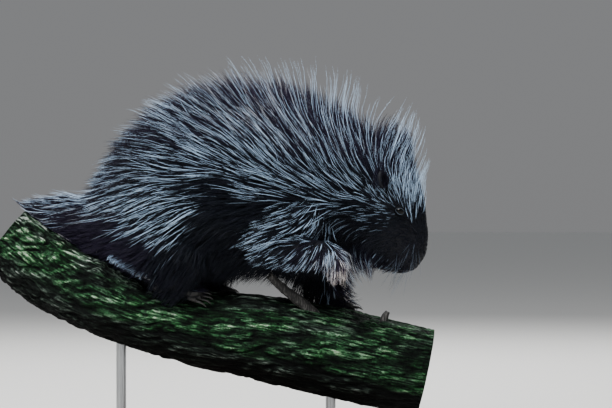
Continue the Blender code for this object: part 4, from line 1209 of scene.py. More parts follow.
def make_foot(name, heel, forward, up, length, toes):
    """One foot and its claws, from the heel, the way it points and its back."""
    side = up.cross(forward).normalized()
    pad = Tube([
        (heel, FOOT_HALF_HEIGHT * 0.75, FOOT_HALF_WIDTH * 0.6),
        (heel + forward * length * 0.15, FOOT_HALF_HEIGHT, FOOT_HALF_WIDTH * 0.8),
        (heel + forward * length * 0.55, FOOT_HALF_HEIGHT * 0.95, FOOT_HALF_WIDTH),
        (heel + forward * length * 0.80, FOOT_HALF_HEIGHT * 0.75, FOOT_HALF_WIDTH * 0.95),
        (heel + forward * length * 0.88, FOOT_HALF_HEIGHT * 0.35, FOOT_HALF_WIDTH * 0.5),
    ])
    pads[name] = pad
    parts = [tube(f"{name}_pad", pad, 28, 24, foot_finish)]
    claws = []
    for toe in range(toes):
        share = toe / (toes - 1) * 2 - 1
        start, knuckle, tip, ahead = toe_stations(heel, forward, up, side, length, share)
        digit = Tube([
            (start, TOE_RADIUS * 0.8, TOE_RADIUS * 0.8),
            (knuckle, TOE_RADIUS, TOE_RADIUS * 0.92),
            (tip, TOE_RADIUS * 0.72, TOE_RADIUS * 0.70),
            (tip + ahead * 0.002, TOE_RADIUS * 0.45, TOE_RADIUS * 0.45),
        ])
        parts.append(tube(f"{name}_toe_{toe}", digit, 14, 14, foot_finish))
        claw = Tube([
            (tip - ahead * 0.001, CLAW_RADIUS * 1.1, CLAW_RADIUS * 0.9),
            (tip + ahead * CLAW_LENGTH * 0.25, CLAW_RADIUS, CLAW_RADIUS * 0.75),
            (tip + ahead * CLAW_LENGTH * 0.62 - up * CLAW_LENGTH * 0.03,
             CLAW_RADIUS * 0.72, CLAW_RADIUS * 0.55),
            (tip + ahead * CLAW_LENGTH - up * CLAW_LENGTH * 0.26,
             CLAW_RADIUS * 0.10, CLAW_RADIUS * 0.10),
        ])
        piece = tube(f"{name}_claw_{toe}", claw, CLAW_RINGS, CLAW_SIDES, claw_finish)
        along = np.repeat(np.linspace(0, 1, CLAW_RINGS), CLAW_SIDES)
        paint(piece, "along", np.append(along, [0.0, 1.0]))
        claws.append(piece)
    foot = remesh(joined(f"{name}_skin", parts), FOOT_VOXEL, 4)
    return foot, joined(f"{name}_claws", claws)


print("one toe is", TOE_LENGTH * 1000, "mm long and its claw", CLAW_LENGTH * 1000, "mm")

# %% [markdown]
# ## Feet set on the limb
#
# A ray dropped on the solid limb finds the heel and the ball of each planted foot, so the foot
# takes the slope and the roundness of the place it stands on. The raised one hangs from its
# wrist with the toes down.

# %% Feet set on the limb
def drop_on_limb(x, y):
    """The place on top of the solid limb at x, y, and the way its surface faces."""
    point, normal, _, _ = limb_solid.ray_cast(Vector((x, y, 1.0)), Vector((0, 0, -1)))
    return point, normal


def planted_foot(name, x, side, length, toes):
    """A foot flat on the limb, turned with its slope and roundness."""
    y = FOOT_OFF_CENTRE * side
    heel, _ = drop_on_limb(x, y)
    ball, normal = drop_on_limb(x + length, y * 0.98)
    _, middle_normal = drop_on_limb(x + length / 2, y)
    forward = (ball - heel).normalized()
    up = (normal + middle_normal).normalized()
    up = (up - forward * up.dot(forward)).normalized()
    return make_foot(name, heel + up * FOOT_HALF_HEIGHT * 0.80, forward, up, length, toes)


wrist = Vector(FOREARM_RAISED[-1][0]) + WRIST_TO_HEEL
paw_up = (PAW_BACK - PAW_HANGS * PAW_BACK.dot(PAW_HANGS)).normalized()
feet = {
    "hind_foot_right": planted_foot("hind_foot_right", HIND_FOOT_X, -1, HIND_SOLE, HIND_TOES),
    "hind_foot_left": planted_foot("hind_foot_left", HIND_FOOT_X + FAR_HIND_SHIFT, 1,
                                   HIND_SOLE, HIND_TOES),
    "fore_foot_left": planted_foot("fore_foot_left", FORE_FOOT_X, 1, FORE_SOLE, FORE_TOES),
    "fore_foot_right": make_foot("fore_foot_right", wrist, PAW_HANGS, paw_up,
                                 FORE_SOLE * RAISED_SOLE_SHARE, FORE_TOES),
}
for node_name, (foot, claws) in feet.items():
    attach(foot, "root")
    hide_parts(node_name)
    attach(claws, "root")
print("feet:", sum(len(foot.data.polygons) for foot, _ in feet.values()), "faces")

# %% [markdown]
# ## Hair
#
# A porcupine's guard hairs are dark at the root and pale over their outer half, over a dense
# dark underfur. Hair is keratin, with an index near 1.55, and it shines along its length. Each
# hair carries three numbers: how far along it a point is, how pale it is, and how warm. The
# colours are mixed from those, so that the coat has no painted picture on it.

# %% Hair
hair_finish, tree, shader = new_material("guard_hair_and_underfur", roughness=0.45, ior=1.55)
along = add(tree, "Attribute", attribute_name="along")
pale = add(tree, "Attribute", attribute_name="pale")
warm = add(tree, "Attribute", attribute_name="warm")
dark = add(tree, "Mix", {0: warm.outputs["Fac"], 6: linear("03050B"), 7: linear("221730")},
           data_type="RGBA")
cream = add(tree, "MapRange", {0: warm.outputs["Fac"], 1: 0.4, 2: 0.9})
light = add(tree, "Mix", {0: cream.outputs[0], 6: linear("BEDBF8"), 7: linear("EFE4DD")},
            data_type="RGBA")
banded = add(tree, "ValToRGB", {"Fac": along.outputs["Fac"]}, stops=(
    (0.08, "000000"), (0.32, "E4E4E4"), (1.0, "FFFFFF")))
amount = add(tree, "Math", {0: banded.outputs[0], 1: pale.outputs["Fac"]}, operation="MULTIPLY")
hair = add(tree, "Mix", {0: amount.outputs[0], 6: dark.outputs[2], 7: light.outputs[2]},
           data_type="RGBA")
feed(tree, shader, {"Base Color": hair.outputs[2], "Specular IOR Level": 0.1})
print("hair colours run from the root to the tip")

# %% [markdown]
# ## The lie of the coat
#
# Hair does not point at random. A field over the side view says at each place which way the
# coat runs, how steeply it leaves the skin, how long the guard hairs are, and how far the dark
# dense coat reaches along them: erect over the nape, swept back on the flank, down on the
# haunch. The raised arm has a table of its own, because it hangs in front of the chest. The
# hind and fore feet and the ears need only one row each.

# %% The lie of the coat
# Each row: x, z, direction in degrees from forward, least lift in degrees, length, dense share
LIE = (
    (0.334, 0.407, 90, 24, 0.054, 0.80), (0.304, 0.407, 106, 20, 0.044, 0.75),
    (0.322, 0.428, 76, 40, 0.080, 0.80), (0.300, 0.447, 74, 40, 0.092, 0.80),
    (0.288, 0.471, 66, 45, 0.112, 0.72), (0.272, 0.527, 60, 47, 0.130, 0.68),
    (0.216, 0.551, 76, 50, 0.126, 0.70), (0.168, 0.575, 90, 48, 0.120, 0.74),
    (0.120, 0.583, 104, 44, 0.108, 0.82), (0.056, 0.583, 120, 40, 0.098, 0.88),
    (-0.024, 0.570, 138, 35, 0.088, 0.90), (-0.088, 0.538, 152, 25, 0.068, 0.92),
    (-0.128, 0.495, 170, 20, 0.058, 0.92), (-0.165, 0.447, 188, 18, 0.060, 0.92),
    (0.216, 0.495, 104, 26, 0.104, 0.60), (0.184, 0.463, 120, 20, 0.092, 0.62),
    (0.120, 0.471, 131, 19, 0.090, 0.67), (0.056, 0.479, 140, 18, 0.088, 0.72),
    (-0.024, 0.479, 152, 17, 0.084, 0.77), (-0.088, 0.455, 168, 16, 0.075, 0.82),
    (0.200, 0.415, 150, 17, 0.080, 0.70), (0.136, 0.415, 156, 17, 0.084, 0.70),
    (0.056, 0.407, 170, 17, 0.084, 0.70), (-0.024, 0.407, 187, 16, 0.080, 0.72),
    (-0.104, 0.391, 201, 15, 0.075, 0.78), (-0.168, 0.375, 198, 15, 0.068, 0.82),
    (-0.248, 0.383, 187, 12, 0.048, 0.78), (-0.300, 0.378, 170, 8, 0.034, 0.85),
    (0.056, 0.367, 190, 14, 0.070, 0.70), (-0.024, 0.343, 214, 14, 0.070, 0.70),
    (-0.104, 0.335, 209, 14, 0.068, 0.75), (-0.072, 0.292, 236, 14, 0.050, 0.75),
    (-0.080, 0.262, 236, 12, 0.030, 0.80), (-0.016, 0.303, 240, 14, 0.050, 0.75),
    (-0.152, 0.319, 200, 12, 0.052, 0.80), (0.152, 0.367, 195, 14, 0.060, 0.70),
    (0.104, 0.343, 205, 14, 0.055, 0.75), (0.168, 0.327, 225, 14, 0.050, 0.75),
    (0.128, 0.290, 236, 16, 0.056, 0.85), (0.100, 0.315, 226, 15, 0.058, 0.85),
    (0.050, 0.310, 222, 14, 0.054, 0.85), (0.205, 0.296, 290, 30, 0.068, 0.80),
    (0.216, 0.383, 178, 16, 0.058, 0.70), (0.264, 0.415, 128, 16, 0.046, 0.70),
    (0.256, 0.367, 176, 13, 0.038, 0.70), (0.256, 0.327, 200, 10, 0.032, 0.70),
    (0.216, 0.262, 304, 32, 0.062, 0.60), (0.236, 0.292, 295, 34, 0.062, 0.72),
    (0.152, 0.255, 255, 15, 0.046, 0.85), (-0.208, 0.335, 190, 8, 0.040, 0.80),
    (0.336, 0.375, 92, 16, 0.026, 0.80), (0.338, 0.345, 96, 7, 0.006, 0.80),
    (0.336, 0.318, 104, 7, 0.004, 0.80), (0.322, 0.290, 150, 7, 0.004, 0.80),
    (0.312, 0.388, 104, 18, 0.036, 0.60), (0.290, 0.395, 110, 18, 0.038, 0.60),
    (0.272, 0.400, 132, 18, 0.022, 0.70), (0.285, 0.360, 178, 8, 0.012, 0.70),
    (0.270, 0.375, 178, 9, 0.022, 0.70), (0.290, 0.335, 196, 7, 0.007, 0.80),
    (0.300, 0.315, 204, 7, 0.005, 0.80), (0.282, 0.298, 214, 8, 0.007, 0.80),
    (0.262, 0.300, 225, 12, 0.018, 0.70),
)
ARM_LIE = (
    (0.070, 0.335, 198, 16, 0.045, 0.70), (0.075, 0.308, 208, 14, 0.030, 0.75),
    (0.115, 0.335, 200, 15, 0.048, 0.70), (0.115, 0.300, 214, 14, 0.026, 0.80),
    (0.150, 0.333, 212, 15, 0.044, 0.70), (0.150, 0.300, 236, 15, 0.024, 0.80),
    (0.176, 0.330, 262, 18, 0.038, 0.75), (0.180, 0.300, 262, 14, 0.026, 0.85),
    (0.194, 0.326, 306, 20, 0.036, 0.80), (0.206, 0.308, 290, 18, 0.030, 0.85),
    (0.212, 0.288, 270, 14, 0.028, 0.92), (0.208, 0.268, 262, 10, 0.020, 0.95),
)
FOOT_LIE = ((0.0, 0.2, 350, 12, 0.017, 0.85),)
EAR_LIE = ((0.26, 0.44, 106, 24, 0.017, 0.90),)
print("places read:", len(LIE), "on the body,", len(ARM_LIE), "on the raised arm")

# %% [markdown]
# ## Reading the field
#
# Between the named places the field is a mean of all of them, each weighed by how near it is.
# Angles can't be blended, since 350 and 10 degrees would meet at 180, so each direction is
# turned into a vector first.

# %% Reading the field
LIE_REACH = 2e-4


def read_field(table, x, z):
    """Columns of a table of places (x, z, ...) blended at each point of the side view."""
    gap = (x[:, None] - table[:, 0]) ** 2 + (z[:, None] - table[:, 1]) ** 2 + LIE_REACH
    share = gap ** -2
    share /= share.sum(1, keepdims=True)
    return share @ table[:, 2:]


def lie_field(rows):
    """A lie table with each direction as a vector, which blends as an angle can't."""
    rows = np.array(rows)
    angle = np.radians(rows[:, 2])
    return np.column_stack([rows[:, :2], np.cos(angle), np.sin(angle), rows[:, 3:]])


FIELDS = {"body": lie_field(LIE), "arm": lie_field(ARM_LIE), "foot": lie_field(FOOT_LIE),
          "ear": lie_field(EAR_LIE)}


def lie_at(field, points):
    """Direction, least lift, guard hair length and dense share at points."""
    ahead, up, lift, length, dense = read_field(FIELDS[field], points[:, 0], points[:, 2]).T
    lie = unit(np.stack([ahead, np.zeros_like(ahead), up], 1))
    return lie, np.radians(lift), length, dense


at_flank = lie_at("body", np.array([[0.056, -0.09, 0.44]]))
print("flank hair runs to", at_flank[0].round(2), "length", at_flank[2].round(3))

# %% [markdown]
# ## Where it is pale
#
# The guard hairs hang in wisps, some pale and some dark. The pale ones are thickest on flank and
# rump, purple brown shows between them along the top of the back, and the belly, the muzzle and
# the hollow behind the ear are almost black. A second table says how many wisps are pale at
# each place, and how warm their tone is.

# %% Where it is pale
# Each row: x, z, share of pale wisps, warmth
TONE = (
    (-0.020, 0.575, 0.16, 0.50), (0.060, 0.575, 0.14, 0.60), (0.130, 0.575, 0.13, 0.55),
    (0.200, 0.560, 0.12, 0.50), (0.270, 0.530, 0.17, 0.45), (0.300, 0.500, 0.25, 0.40),
    (0.050, 0.535, 0.23, 0.55), (-0.060, 0.510, 0.25, 0.35), (-0.030, 0.530, 0.23, 0.40),
    (0.120, 0.510, 0.19, 0.45), (0.190, 0.490, 0.18, 0.45), (0.150, 0.450, 0.25, 0.15),
    (0.200, 0.440, 0.18, 0.10), (0.050, 0.460, 0.42, 0.15), (-0.030, 0.440, 0.40, 0.15),
    (-0.100, 0.430, 0.21, 0.15), (0.050, 0.415, 0.26, 0.00), (-0.020, 0.410, 0.04, 0.00),
    (-0.060, 0.412, 0.10, 0.00), (-0.060, 0.375, 0.36, 0.00), (-0.110, 0.375, 0.54, 0.00),
    (-0.090, 0.345, 0.50, 0.00), (-0.060, 0.340, 0.26, 0.00), (-0.125, 0.345, 0.46, 0.05),
    (0.130, 0.385, 0.26, 0.00), (0.172, 0.376, 0.22, 0.00), (0.050, 0.355, 0.00, 0.00),
    (0.000, 0.375, 0.00, 0.00), (-0.025, 0.345, 0.00, 0.00), (0.000, 0.320, 0.00, 0.00),
    (0.060, 0.310, 0.00, 0.00), (0.120, 0.310, 0.00, 0.00), (0.150, 0.270, 0.00, 0.00),
    (0.090, 0.390, 0.22, 0.00), (-0.140, 0.400, 0.40, 0.10), (-0.150, 0.470, 0.13, 0.30),
    (-0.120, 0.510, 0.15, 0.40), (-0.170, 0.430, 0.18, 0.30), (-0.165, 0.352, 0.20, 0.30),
    (-0.235, 0.398, 0.66, 0.35), (-0.235, 0.360, 0.08, 0.50), (-0.200, 0.335, 0.00, 0.50),
    (-0.170, 0.320, 0.00, 0.50), (-0.130, 0.312, 0.02, 0.40), (-0.070, 0.305, 0.10, 0.00),
    (-0.070, 0.262, 0.03, 0.10), (-0.020, 0.300, 0.00, 0.00), (0.230, 0.420, 0.24, 0.00),
    (0.260, 0.385, 0.20, 0.00), (0.266, 0.358, 0.14, 0.00), (0.286, 0.366, 0.03, 0.00),
    (0.235, 0.360, 0.18, 0.00), (0.205, 0.365, 0.18, 0.00), (0.225, 0.340, 0.11, 0.00),
    (0.255, 0.325, 0.00, 0.00), (0.300, 0.445, 0.28, 0.40), (0.292, 0.412, 0.42, 0.20),
    (0.325, 0.412, 0.33, 0.30), (0.335, 0.430, 0.30, 0.40), (0.300, 0.384, 0.04, 0.10),
    (0.312, 0.392, 0.34, 0.10), (0.333, 0.360, 0.00, 0.00), (0.330, 0.310, 0.00, 0.00),
    (0.300, 0.340, 0.00, 0.10), (0.290, 0.352, 0.00, 0.00), (0.305, 0.366, 0.02, 0.00),
    (0.300, 0.310, 0.00, 0.10), (0.275, 0.330, 0.00, 0.00), (0.245, 0.445, 0.04, 0.20),
    (0.262, 0.432, 0.04, 0.20), (0.270, 0.405, 0.66, 0.10), (0.255, 0.400, 0.50, 0.10),
    (0.252, 0.478, 0.18, 0.50), (0.240, 0.312, 0.02, 0.10), (0.190, 0.305, 0.02, 0.10),
    (0.220, 0.262, 0.45, 0.65), (0.246, 0.264, 0.60, 0.70),
)
ARM_TONE = (
    (0.070, 0.335, 0.34, 0.00), (0.080, 0.300, 0.20, 0.10), (0.120, 0.335, 0.36, 0.00),
    (0.120, 0.292, 0.24, 0.30), (0.090, 0.312, 0.28, 0.00), (0.160, 0.330, 0.50, 0.00),
    (0.150, 0.305, 0.44, 0.30), (0.160, 0.290, 0.34, 0.60), (0.185, 0.320, 0.56, 0.00),
    (0.200, 0.295, 0.66, 0.60), (0.205, 0.272, 0.75, 0.95),
)
FOOT_TONE = ((0.0, 0.2, 0.06, 0.30),)
EAR_TONE = ((0.26, 0.44, 0.06, 0.30),)
TONES = {"body": np.array(TONE), "arm": np.array(ARM_TONE), "foot": np.array(FOOT_TONE),
         "ear": np.array(EAR_TONE)}
tone_here = read_field(TONES["body"], np.array([0.0]), np.array([0.44]))
print("pale share on the flank:", tone_here.round(2))

# %% [markdown]
# ## Roots
#
# Roots are scattered over each form in proportion to its area, so that the coat is as dense on
# a broad flank as on a thin leg. Each root is then put on the hide itself, and roots that fall
# inside another form are dropped. A foot grows hair on top only, because its sole is bare.

# %% Roots
def one_tree(objects):
    """One search tree over several meshes."""
    points, faces = [], []
    for obj in objects:
        first = len(points)
        points += [vertex.co.copy() for vertex in obj.data.vertices]
        faces += [[first + index for index in face.vertices] for face in obj.data.polygons]
    return BVHTree.FromPolygons(points, faces)


skin_tree = one_tree([hide] + ears + [foot for foot, _ in feet.values()])
DEEPEST_ROOT = 0.0045
FOOT_TOP = 0.15
GRID = (96, 48)


def on_skin(points):
    """The nearest place on the skin to each point, and the direction out there."""
    near = np.empty_like(points)
    out = np.empty_like(points)
    for row, point in enumerate(points):
        spot, normal, _, _ = skin_tree.find_nearest(point)
        near[row] = spot
        out[row] = normal
    return near, out


def scatter(shape, start, end, per_cm2, chance):
    """Places and angles spread evenly over the area of a form, thinner on the belly."""
    places = np.linspace(start, end, GRID[0] + 1)
    angles = np.linspace(0.0, math.tau, GRID[1] + 1)
    all_places = np.repeat(places, len(angles))
    all_angles = np.tile(angles, len(places))
    points = shape.surface(all_places, all_angles).reshape(len(places), len(angles), 3)
    one = points[1:, 1:] - points[:-1, :-1]
    other = points[1:, :-1] - points[:-1, 1:]
    area = np.linalg.norm(np.cross(one, other), axis=2) / 2
    centre = (angles[1:] + angles[:-1]) / 2
    weight = (area * (0.76 + 0.24 * np.cos(centre))).ravel()
    count = int(weight.sum() * per_cm2 * 1e4)
    cell = chance.choice(weight.size, count, p=weight / weight.sum())
    row, column = np.divmod(cell, GRID[1])
    place = places[row] + chance.random(count) * (places[1] - places[0])
    angle = angles[column] + chance.random(count) * (angles[1] - angles[0])
    return place, angle


def rooted(shape, place, angle, is_foot):
    """Roots on the skin, the direction out, and which of them may grow."""
    loose = shape.surface(place, angle)
    root, out = on_skin(loose)
    grows = np.linalg.norm(root - loose, axis=1) < DEEPEST_ROOT
    if is_foot:
        grows &= out[:, 2] > FOOT_TOP
    return root, out, grows


test_place, _ = scatter(body, 3.4, 11.6, 1.0, np.random.default_rng(1))
print("trunk area in square centimetres:", len(test_place))

# %% [markdown]
# ## Growing the hairs
#
# Hair hangs together in tufts: neighbours share one path and draw together towards the tip.
# So a path is grown for each tuft first, in steps that follow the lie and stay off the hide,
# and each hair then takes its tuft's path from its own root, with its own length and a little
# wander. That also keeps the work small, because only the tufts have to look up the hide.

# %% Growing the hairs
SHARES = np.array([0.0, 0.28, 0.56, 0.80, 1.0])
PATH_STEPS = 5
EASE = 0.45
ROOT_SUNK = 0.0015
LIFT_AT_ROOT = 1.12
STEEPEST = math.radians(82)
LOWEST = 0.0012
HIGHER_AHEAD = 0.03


def grow_paths(field, root, out, length, raised, swing):
    """Paths of tufts: points along the lie, easing down towards the tip."""
    path = [root]
    point = root.copy()
    for step in range(PATH_STEPS):
        share = step / PATH_STEPS
        lie, least, _, _ = lie_at(field, point)
        lie = unit(lie + np.cross(out, lie) * swing[:, None])
        lift = np.maximum(np.arcsin(np.clip(dot(lie, out)[:, 0], -1, 1)), least)
        lift = np.minimum(lift * raised * (LIFT_AT_ROOT - EASE * share), STEEPEST)
        flat = unit(lie - out * dot(lie, out))
        ahead = flat * np.cos(lift)[:, None] + out * np.sin(lift)[:, None]
        point = point + ahead * (length / PATH_STEPS)[:, None]
        near, near_out = on_skin(point)
        height = dot(point - near, near_out)
        needed = LOWEST + HIGHER_AHEAD * length[:, None] * (share + 0.2)
        point = clear_of_limb(point + near_out * np.maximum(needed - height, 0.0))
        out = unit(out * 0.4 + near_out * 0.6)
        path.append(point)
    return np.stack(path, 1)


limb_line = np.array([(x, z, radius) for (x, _, z), radius in LIMB])
LIMB_CLEAR = 0.0035


def clear_of_limb(points):
    """Points that fall inside the limb are moved out to its surface."""
    shape = points.shape
    flat = points.reshape(-1, 3).copy()
    centre_z = np.interp(flat[:, 0], limb_line[:, 0], limb_line[:, 1])
    radius = np.interp(flat[:, 0], limb_line[:, 0], limb_line[:, 2]) + LIMB_CLEAR
    slope = np.gradient(limb_line[:, 1], limb_line[:, 0])
    tilt = np.cos(np.arctan(np.interp(flat[:, 0], limb_line[:, 0], slope)))
    up = (flat[:, 2] - centre_z) * tilt
    away = np.hypot(flat[:, 1], up)
    inside = (away < radius) & (flat[:, 0] > limb_line[0, 0]) & (flat[:, 0] < limb_line[-1, 0])
    grow = np.where(inside, radius / np.maximum(away, 1e-6), 1.0)
    flat[:, 1] *= grow
    flat[:, 2] = centre_z + up * grow / tilt
    return flat.reshape(shape)


def follow(paths, owner, shares):
    """Points of each owner's path at real shares of it. Past the end it runs straight on."""
    place = shares * PATH_STEPS
    low = np.clip(place.astype(int), 0, PATH_STEPS - 1)
    t = (place - low)[..., None]
    rows = owner[:, None]
    return paths[rows, low] * (1 - t) + paths[rows, low + 1] * t


print("the limb is", round(limb_line[-1, 0] - limb_line[0, 0], 3), "m long for the hairs")

# %% [markdown]
# ## The mesh of a hair
#
# A hair is a three-sided tube in four rings with a point, 22 triangles, and it tapers towards
# the tip. Real mesh was chosen over Blender's hair curves, because it leaves Blender as it is.
# Each hair also carries its colour numbers and its patch of the unrolled forms.

# %% The mesh of a hair
TAPER = np.array([1.0, 1.0, 0.86, 0.58])
HAIR_SIDES = 3
HAIR_TRIANGLES = 2 * HAIR_SIDES * (len(TAPER) - 1) + HAIR_SIDES + 1
PATCH = 0.003
LOW_CORNERS = 0.45
HIGH_CORNER = 0.75


def hair_mesh(name, centres, width, out, patch, pale, warm):
    """One mesh of many hairs: three-sided, tapered and closed, with colour numbers."""
    count = len(centres)
    rings = len(TAPER)
    ahead = unit(np.gradient(centres, axis=1))
    across = unit(np.cross(ahead, out[:, None, :]))
    rise = np.cross(across, ahead)
    half = width[:, None, None] * TAPER[None, :, None] / 2
    body_points = centres[:, :rings]
    corners = np.stack([
        body_points - across[:, :rings] * half - rise[:, :rings] * half * LOW_CORNERS,
        body_points + across[:, :rings] * half - rise[:, :rings] * half * LOW_CORNERS,
        body_points + rise[:, :rings] * half * HIGH_CORNER,
    ], 2).reshape(count, rings * HAIR_SIDES, 3)
    points = np.concatenate([corners, centres[:, -1:]], 1)
    one = [[0, 1, 2]]
    for ring in range(rings - 1):
        for side in range(HAIR_SIDES):
            a = ring * HAIR_SIDES + side
            b = ring * HAIR_SIDES + (side + 1) % HAIR_SIDES
            one += [[a, b + HAIR_SIDES, b], [a, a + HAIR_SIDES, b + HAIR_SIDES]]
    for side in range(HAIR_SIDES):
        a = (rings - 1) * HAIR_SIDES + side
        b = (rings - 1) * HAIR_SIDES + (side + 1) % HAIR_SIDES
        one.append([a, rings * HAIR_SIDES, b])
    one = np.array(one)
    per_hair = points.shape[1]
    triangles = (one[None] + np.arange(count)[:, None, None] * per_hair).reshape(-1, 3)
    obj = mesh_piece(name, points.reshape(-1, 3), triangles, hair_finish)
    shares = np.append(np.repeat(SHARES[:rings], HAIR_SIDES), 1.0)
    paint(obj, "along", np.tile(shares, count))
    paint(obj, "pale", np.repeat(pale, per_hair))
    paint(obj, "warm", np.repeat(warm, per_hair))
    across_patch = np.append(np.tile([-0.5, 0.5, 0.0], rings), 0.0)
    inside_patch = np.stack([across_patch, shares - 0.5], 1) * PATCH
    uv = (patch[:, None, :] + inside_patch[None]).reshape(-1, 2)
    layer = obj.data.uv_layers.new(name="OFBake")
    layer.data.foreach_set("uv", uv[triangles.ravel()].astype(np.float32).ravel())
    return obj


print("one hair has", HAIR_TRIANGLES, "triangles")

# %% [markdown]
# ## Regions of the coat
#
# Each region has its own density and thickness of hair: coarse and long on the body, fine and
# short on the head and feet. The head has the most hairs to the square centimetre, because the
# eye looks there first. On the far side the tufts are larger, which is cheaper.

# %% Regions of the coat
# Each row: form, start, end, hairs to the square centimetre, width, hairs to a tuft, field
REGIONS = {
    "tail": (body, 0.25, 3.5, 21.0, 0.00070, 3, "body"),
    "rump": (body, 3.5, 6.0, 19.6, 0.00074, 3, "body"),
    "flank": (body, 6.0, 8.5, 18.6, 0.00074, 2, "body"),
    "shoulder": (body, 8.5, 11.5, 20.0, 0.00070, 2, "body"),
    "nape": (body, 11.5, 13.2, 26.0, 0.00060, 2, "body"),
    "crown": (body, 13.2, 16.2, 40.0, 0.00048, 2, "body"),
    "muzzle": (body, 16.2, 21.7, 39.0, 0.00042, 4, "body"),
    "hind_leg_right": (LEGS["hind_leg_right"], 0.4, 4.0, 16.0, 0.00070, 3, "body"),
    "hind_leg_left": (LEGS["hind_leg_left"], 0.4, 4.0, 14.0, 0.00080, 6, "body"),
    "fore_leg_left": (LEGS["fore_leg_left"], 0.3, 4.0, 15.0, 0.00074, 6, "body"),
    "upper_arm_right": (LEGS["upper_arm_right"], 0.3, 3.0, 21.0, 0.00066, 3, "arm"),
    "forearm_right": (LEGS["forearm_right"], 0.3, 4.0, 28.0, 0.00060, 3, "arm"),
    "paw_right": (pads["fore_foot_right"], 0.1, 4.0, 60.0, 0.00058, 4, "arm"),
    "paw_left": (pads["fore_foot_left"], 0.2, 4.0, 40.0, 0.00050, 5, "foot"),
    "foot_right": (pads["hind_foot_right"], 0.2, 4.0, 40.0, 0.00050, 5, "foot"),
    "foot_left": (pads["hind_foot_left"], 0.2, 4.0, 40.0, 0.00050, 5, "foot"),
    "ear_right": (ear_shapes["right"], 0.0, 3.0, 60.0, 0.00048, 4, "ear"),
    "ear_left": (ear_shapes["left"], 0.0, 3.0, 60.0, 0.00048, 4, "ear"),
}
print("regions:", ", ".join(REGIONS))

# %% [markdown]
# ## Keeping hairs in their place
#
# Hairs must not cross an eye or fill an ear, and the sides of the coat must not stand wider
# than a real one lies. Each root also gets a place on the unrolled forms: one sheet for the
# trunk and a strip for each other form. There the coat's colours are stored when the model
# leaves Blender.

# %% Keeping hairs in their place
CLEAR_OF_EYE = 0.0080
CLEAR_OF_EAR = 0.0060
WIDEST = 0.138
OUTSIDE_SHARE = 0.35
EAR_CENTRES = [np.array(ear_axes(side)[0]) for side in (-1, 1)]


def patch_places(number, shape, place, angle):
    """Where each root lies on the unrolled forms: the trunk below, a strip for each limb."""
    along = place / shape.end
    around = (angle % math.tau) / math.tau
    low, high = (0.02, 0.50) if number == 0 else (0.48 + 0.04 * number, 0.51 + 0.04 * number)
    return np.stack([0.02 + 0.96 * along, low + (high - low) * around], 1)


def held_in(points):
    """Hair that would stand too far out to either side is laid closer to the body."""
    wide = np.abs(points[..., 1])
    kept = np.where(wide > WIDEST, WIDEST + (wide - WIDEST) * OUTSIDE_SHARE, wide)
    points[..., 1] = np.sign(points[..., 1]) * kept
    return points


def clear_of_face(points):
    """Which hairs keep clear of the eyes, and have their root outside the ears."""
    clear = np.ones(len(points), bool)
    for centre, _ in eyes.values():
        clear &= np.linalg.norm(points - np.array(centre), axis=2).min(1) > CLEAR_OF_EYE
    for centre in EAR_CENTRES:
        clear &= np.linalg.norm(points[:, 0] - centre, axis=1) > CLEAR_OF_EAR
    return clear


print("ear centres:", [centre.round(3).tolist() for centre in EAR_CENTRES])

# %% [markdown]
# ## Tufts
#
# The roots are sorted into rows round the body, and every second to sixth one leads a tuft that
# the roots nearest to it join. A tuft is pale or dark as a whole. Chance alone would
# heap the pale ones together, so the shares are added up along each row, and a tuft is pale
# where the sum passes a whole number. That spaces them as evenly as in a combed coat.

# %% Tufts
ROWS_TO_A_RADIAN = 20
LENGTH_VARIES = 0.13
LIFT_VARIES = 0.16
SWING = 0.08
FAINTEST = 0.040
PALE_GAIN = 1.12
THROAT_X = 0.185
THROAT_PALE = 0.6
BELLY_FADE = 1.3
BELLY_PALE = 0.10


def choose_tufts(root, place, angle, to_a_tuft):
    """Which roots lead a tuft, and the row of the tuft that each root joins."""
    chosen = np.lexsort((place, (angle * ROWS_TO_A_RADIAN).astype(int)))[::to_a_tuft]
    search = KDTree(len(chosen))
    for row, index in enumerate(chosen):
        search.insert(root[index], row)
    search.balance()
    return chosen, np.array([search.find(point)[1] for point in root])


def tuft_paths(field, root, out, chance):
    """Each tuft's path, its length, and how far the dense coat reaches along it."""
    _, _, length, dense = lie_at(field, root)
    length = length * (1 + LENGTH_VARIES * chance.uniform(-1, 1, len(root)))
    raised = 1 + LIFT_VARIES * chance.uniform(-1, 1, len(root))
    swing = SWING * chance.normal(size=len(root))
    return grow_paths(field, root, out, length, raised, swing), length, dense


def pale_shares(field, root, out, paths):
    """The share of pale tufts round each tuft, less under the belly, and their warmth."""
    share, warmth = read_field(TONES[field], paths[:, 3, 0], paths[:, 3, 2]).T
    share = np.clip(share * PALE_GAIN - FAINTEST, 0, 1)
    if field == "body":
        turned_up = np.clip(1 + out[:, 2] * BELLY_FADE, BELLY_PALE, 1.0)
        share = share * np.maximum(turned_up, THROAT_PALE * (root[:, 0] > THROAT_X))
    return share, warmth


print("rows of tufts round the trunk:", int(math.tau * ROWS_TO_A_RADIAN))

# %% [markdown]
# ## The hairs of a tuft
#
# More than a third of the hairs are short dark underfur. The others are guard hairs, of which
# some stray from their tuft and some grow long. Guard hairs draw together towards the tip as
# wet or greasy hair does, underfur less. Where few tufts are pale, the pale ones are dimmer
# too, so that the light parts of the coat fade out and don't end in single bright hairs.

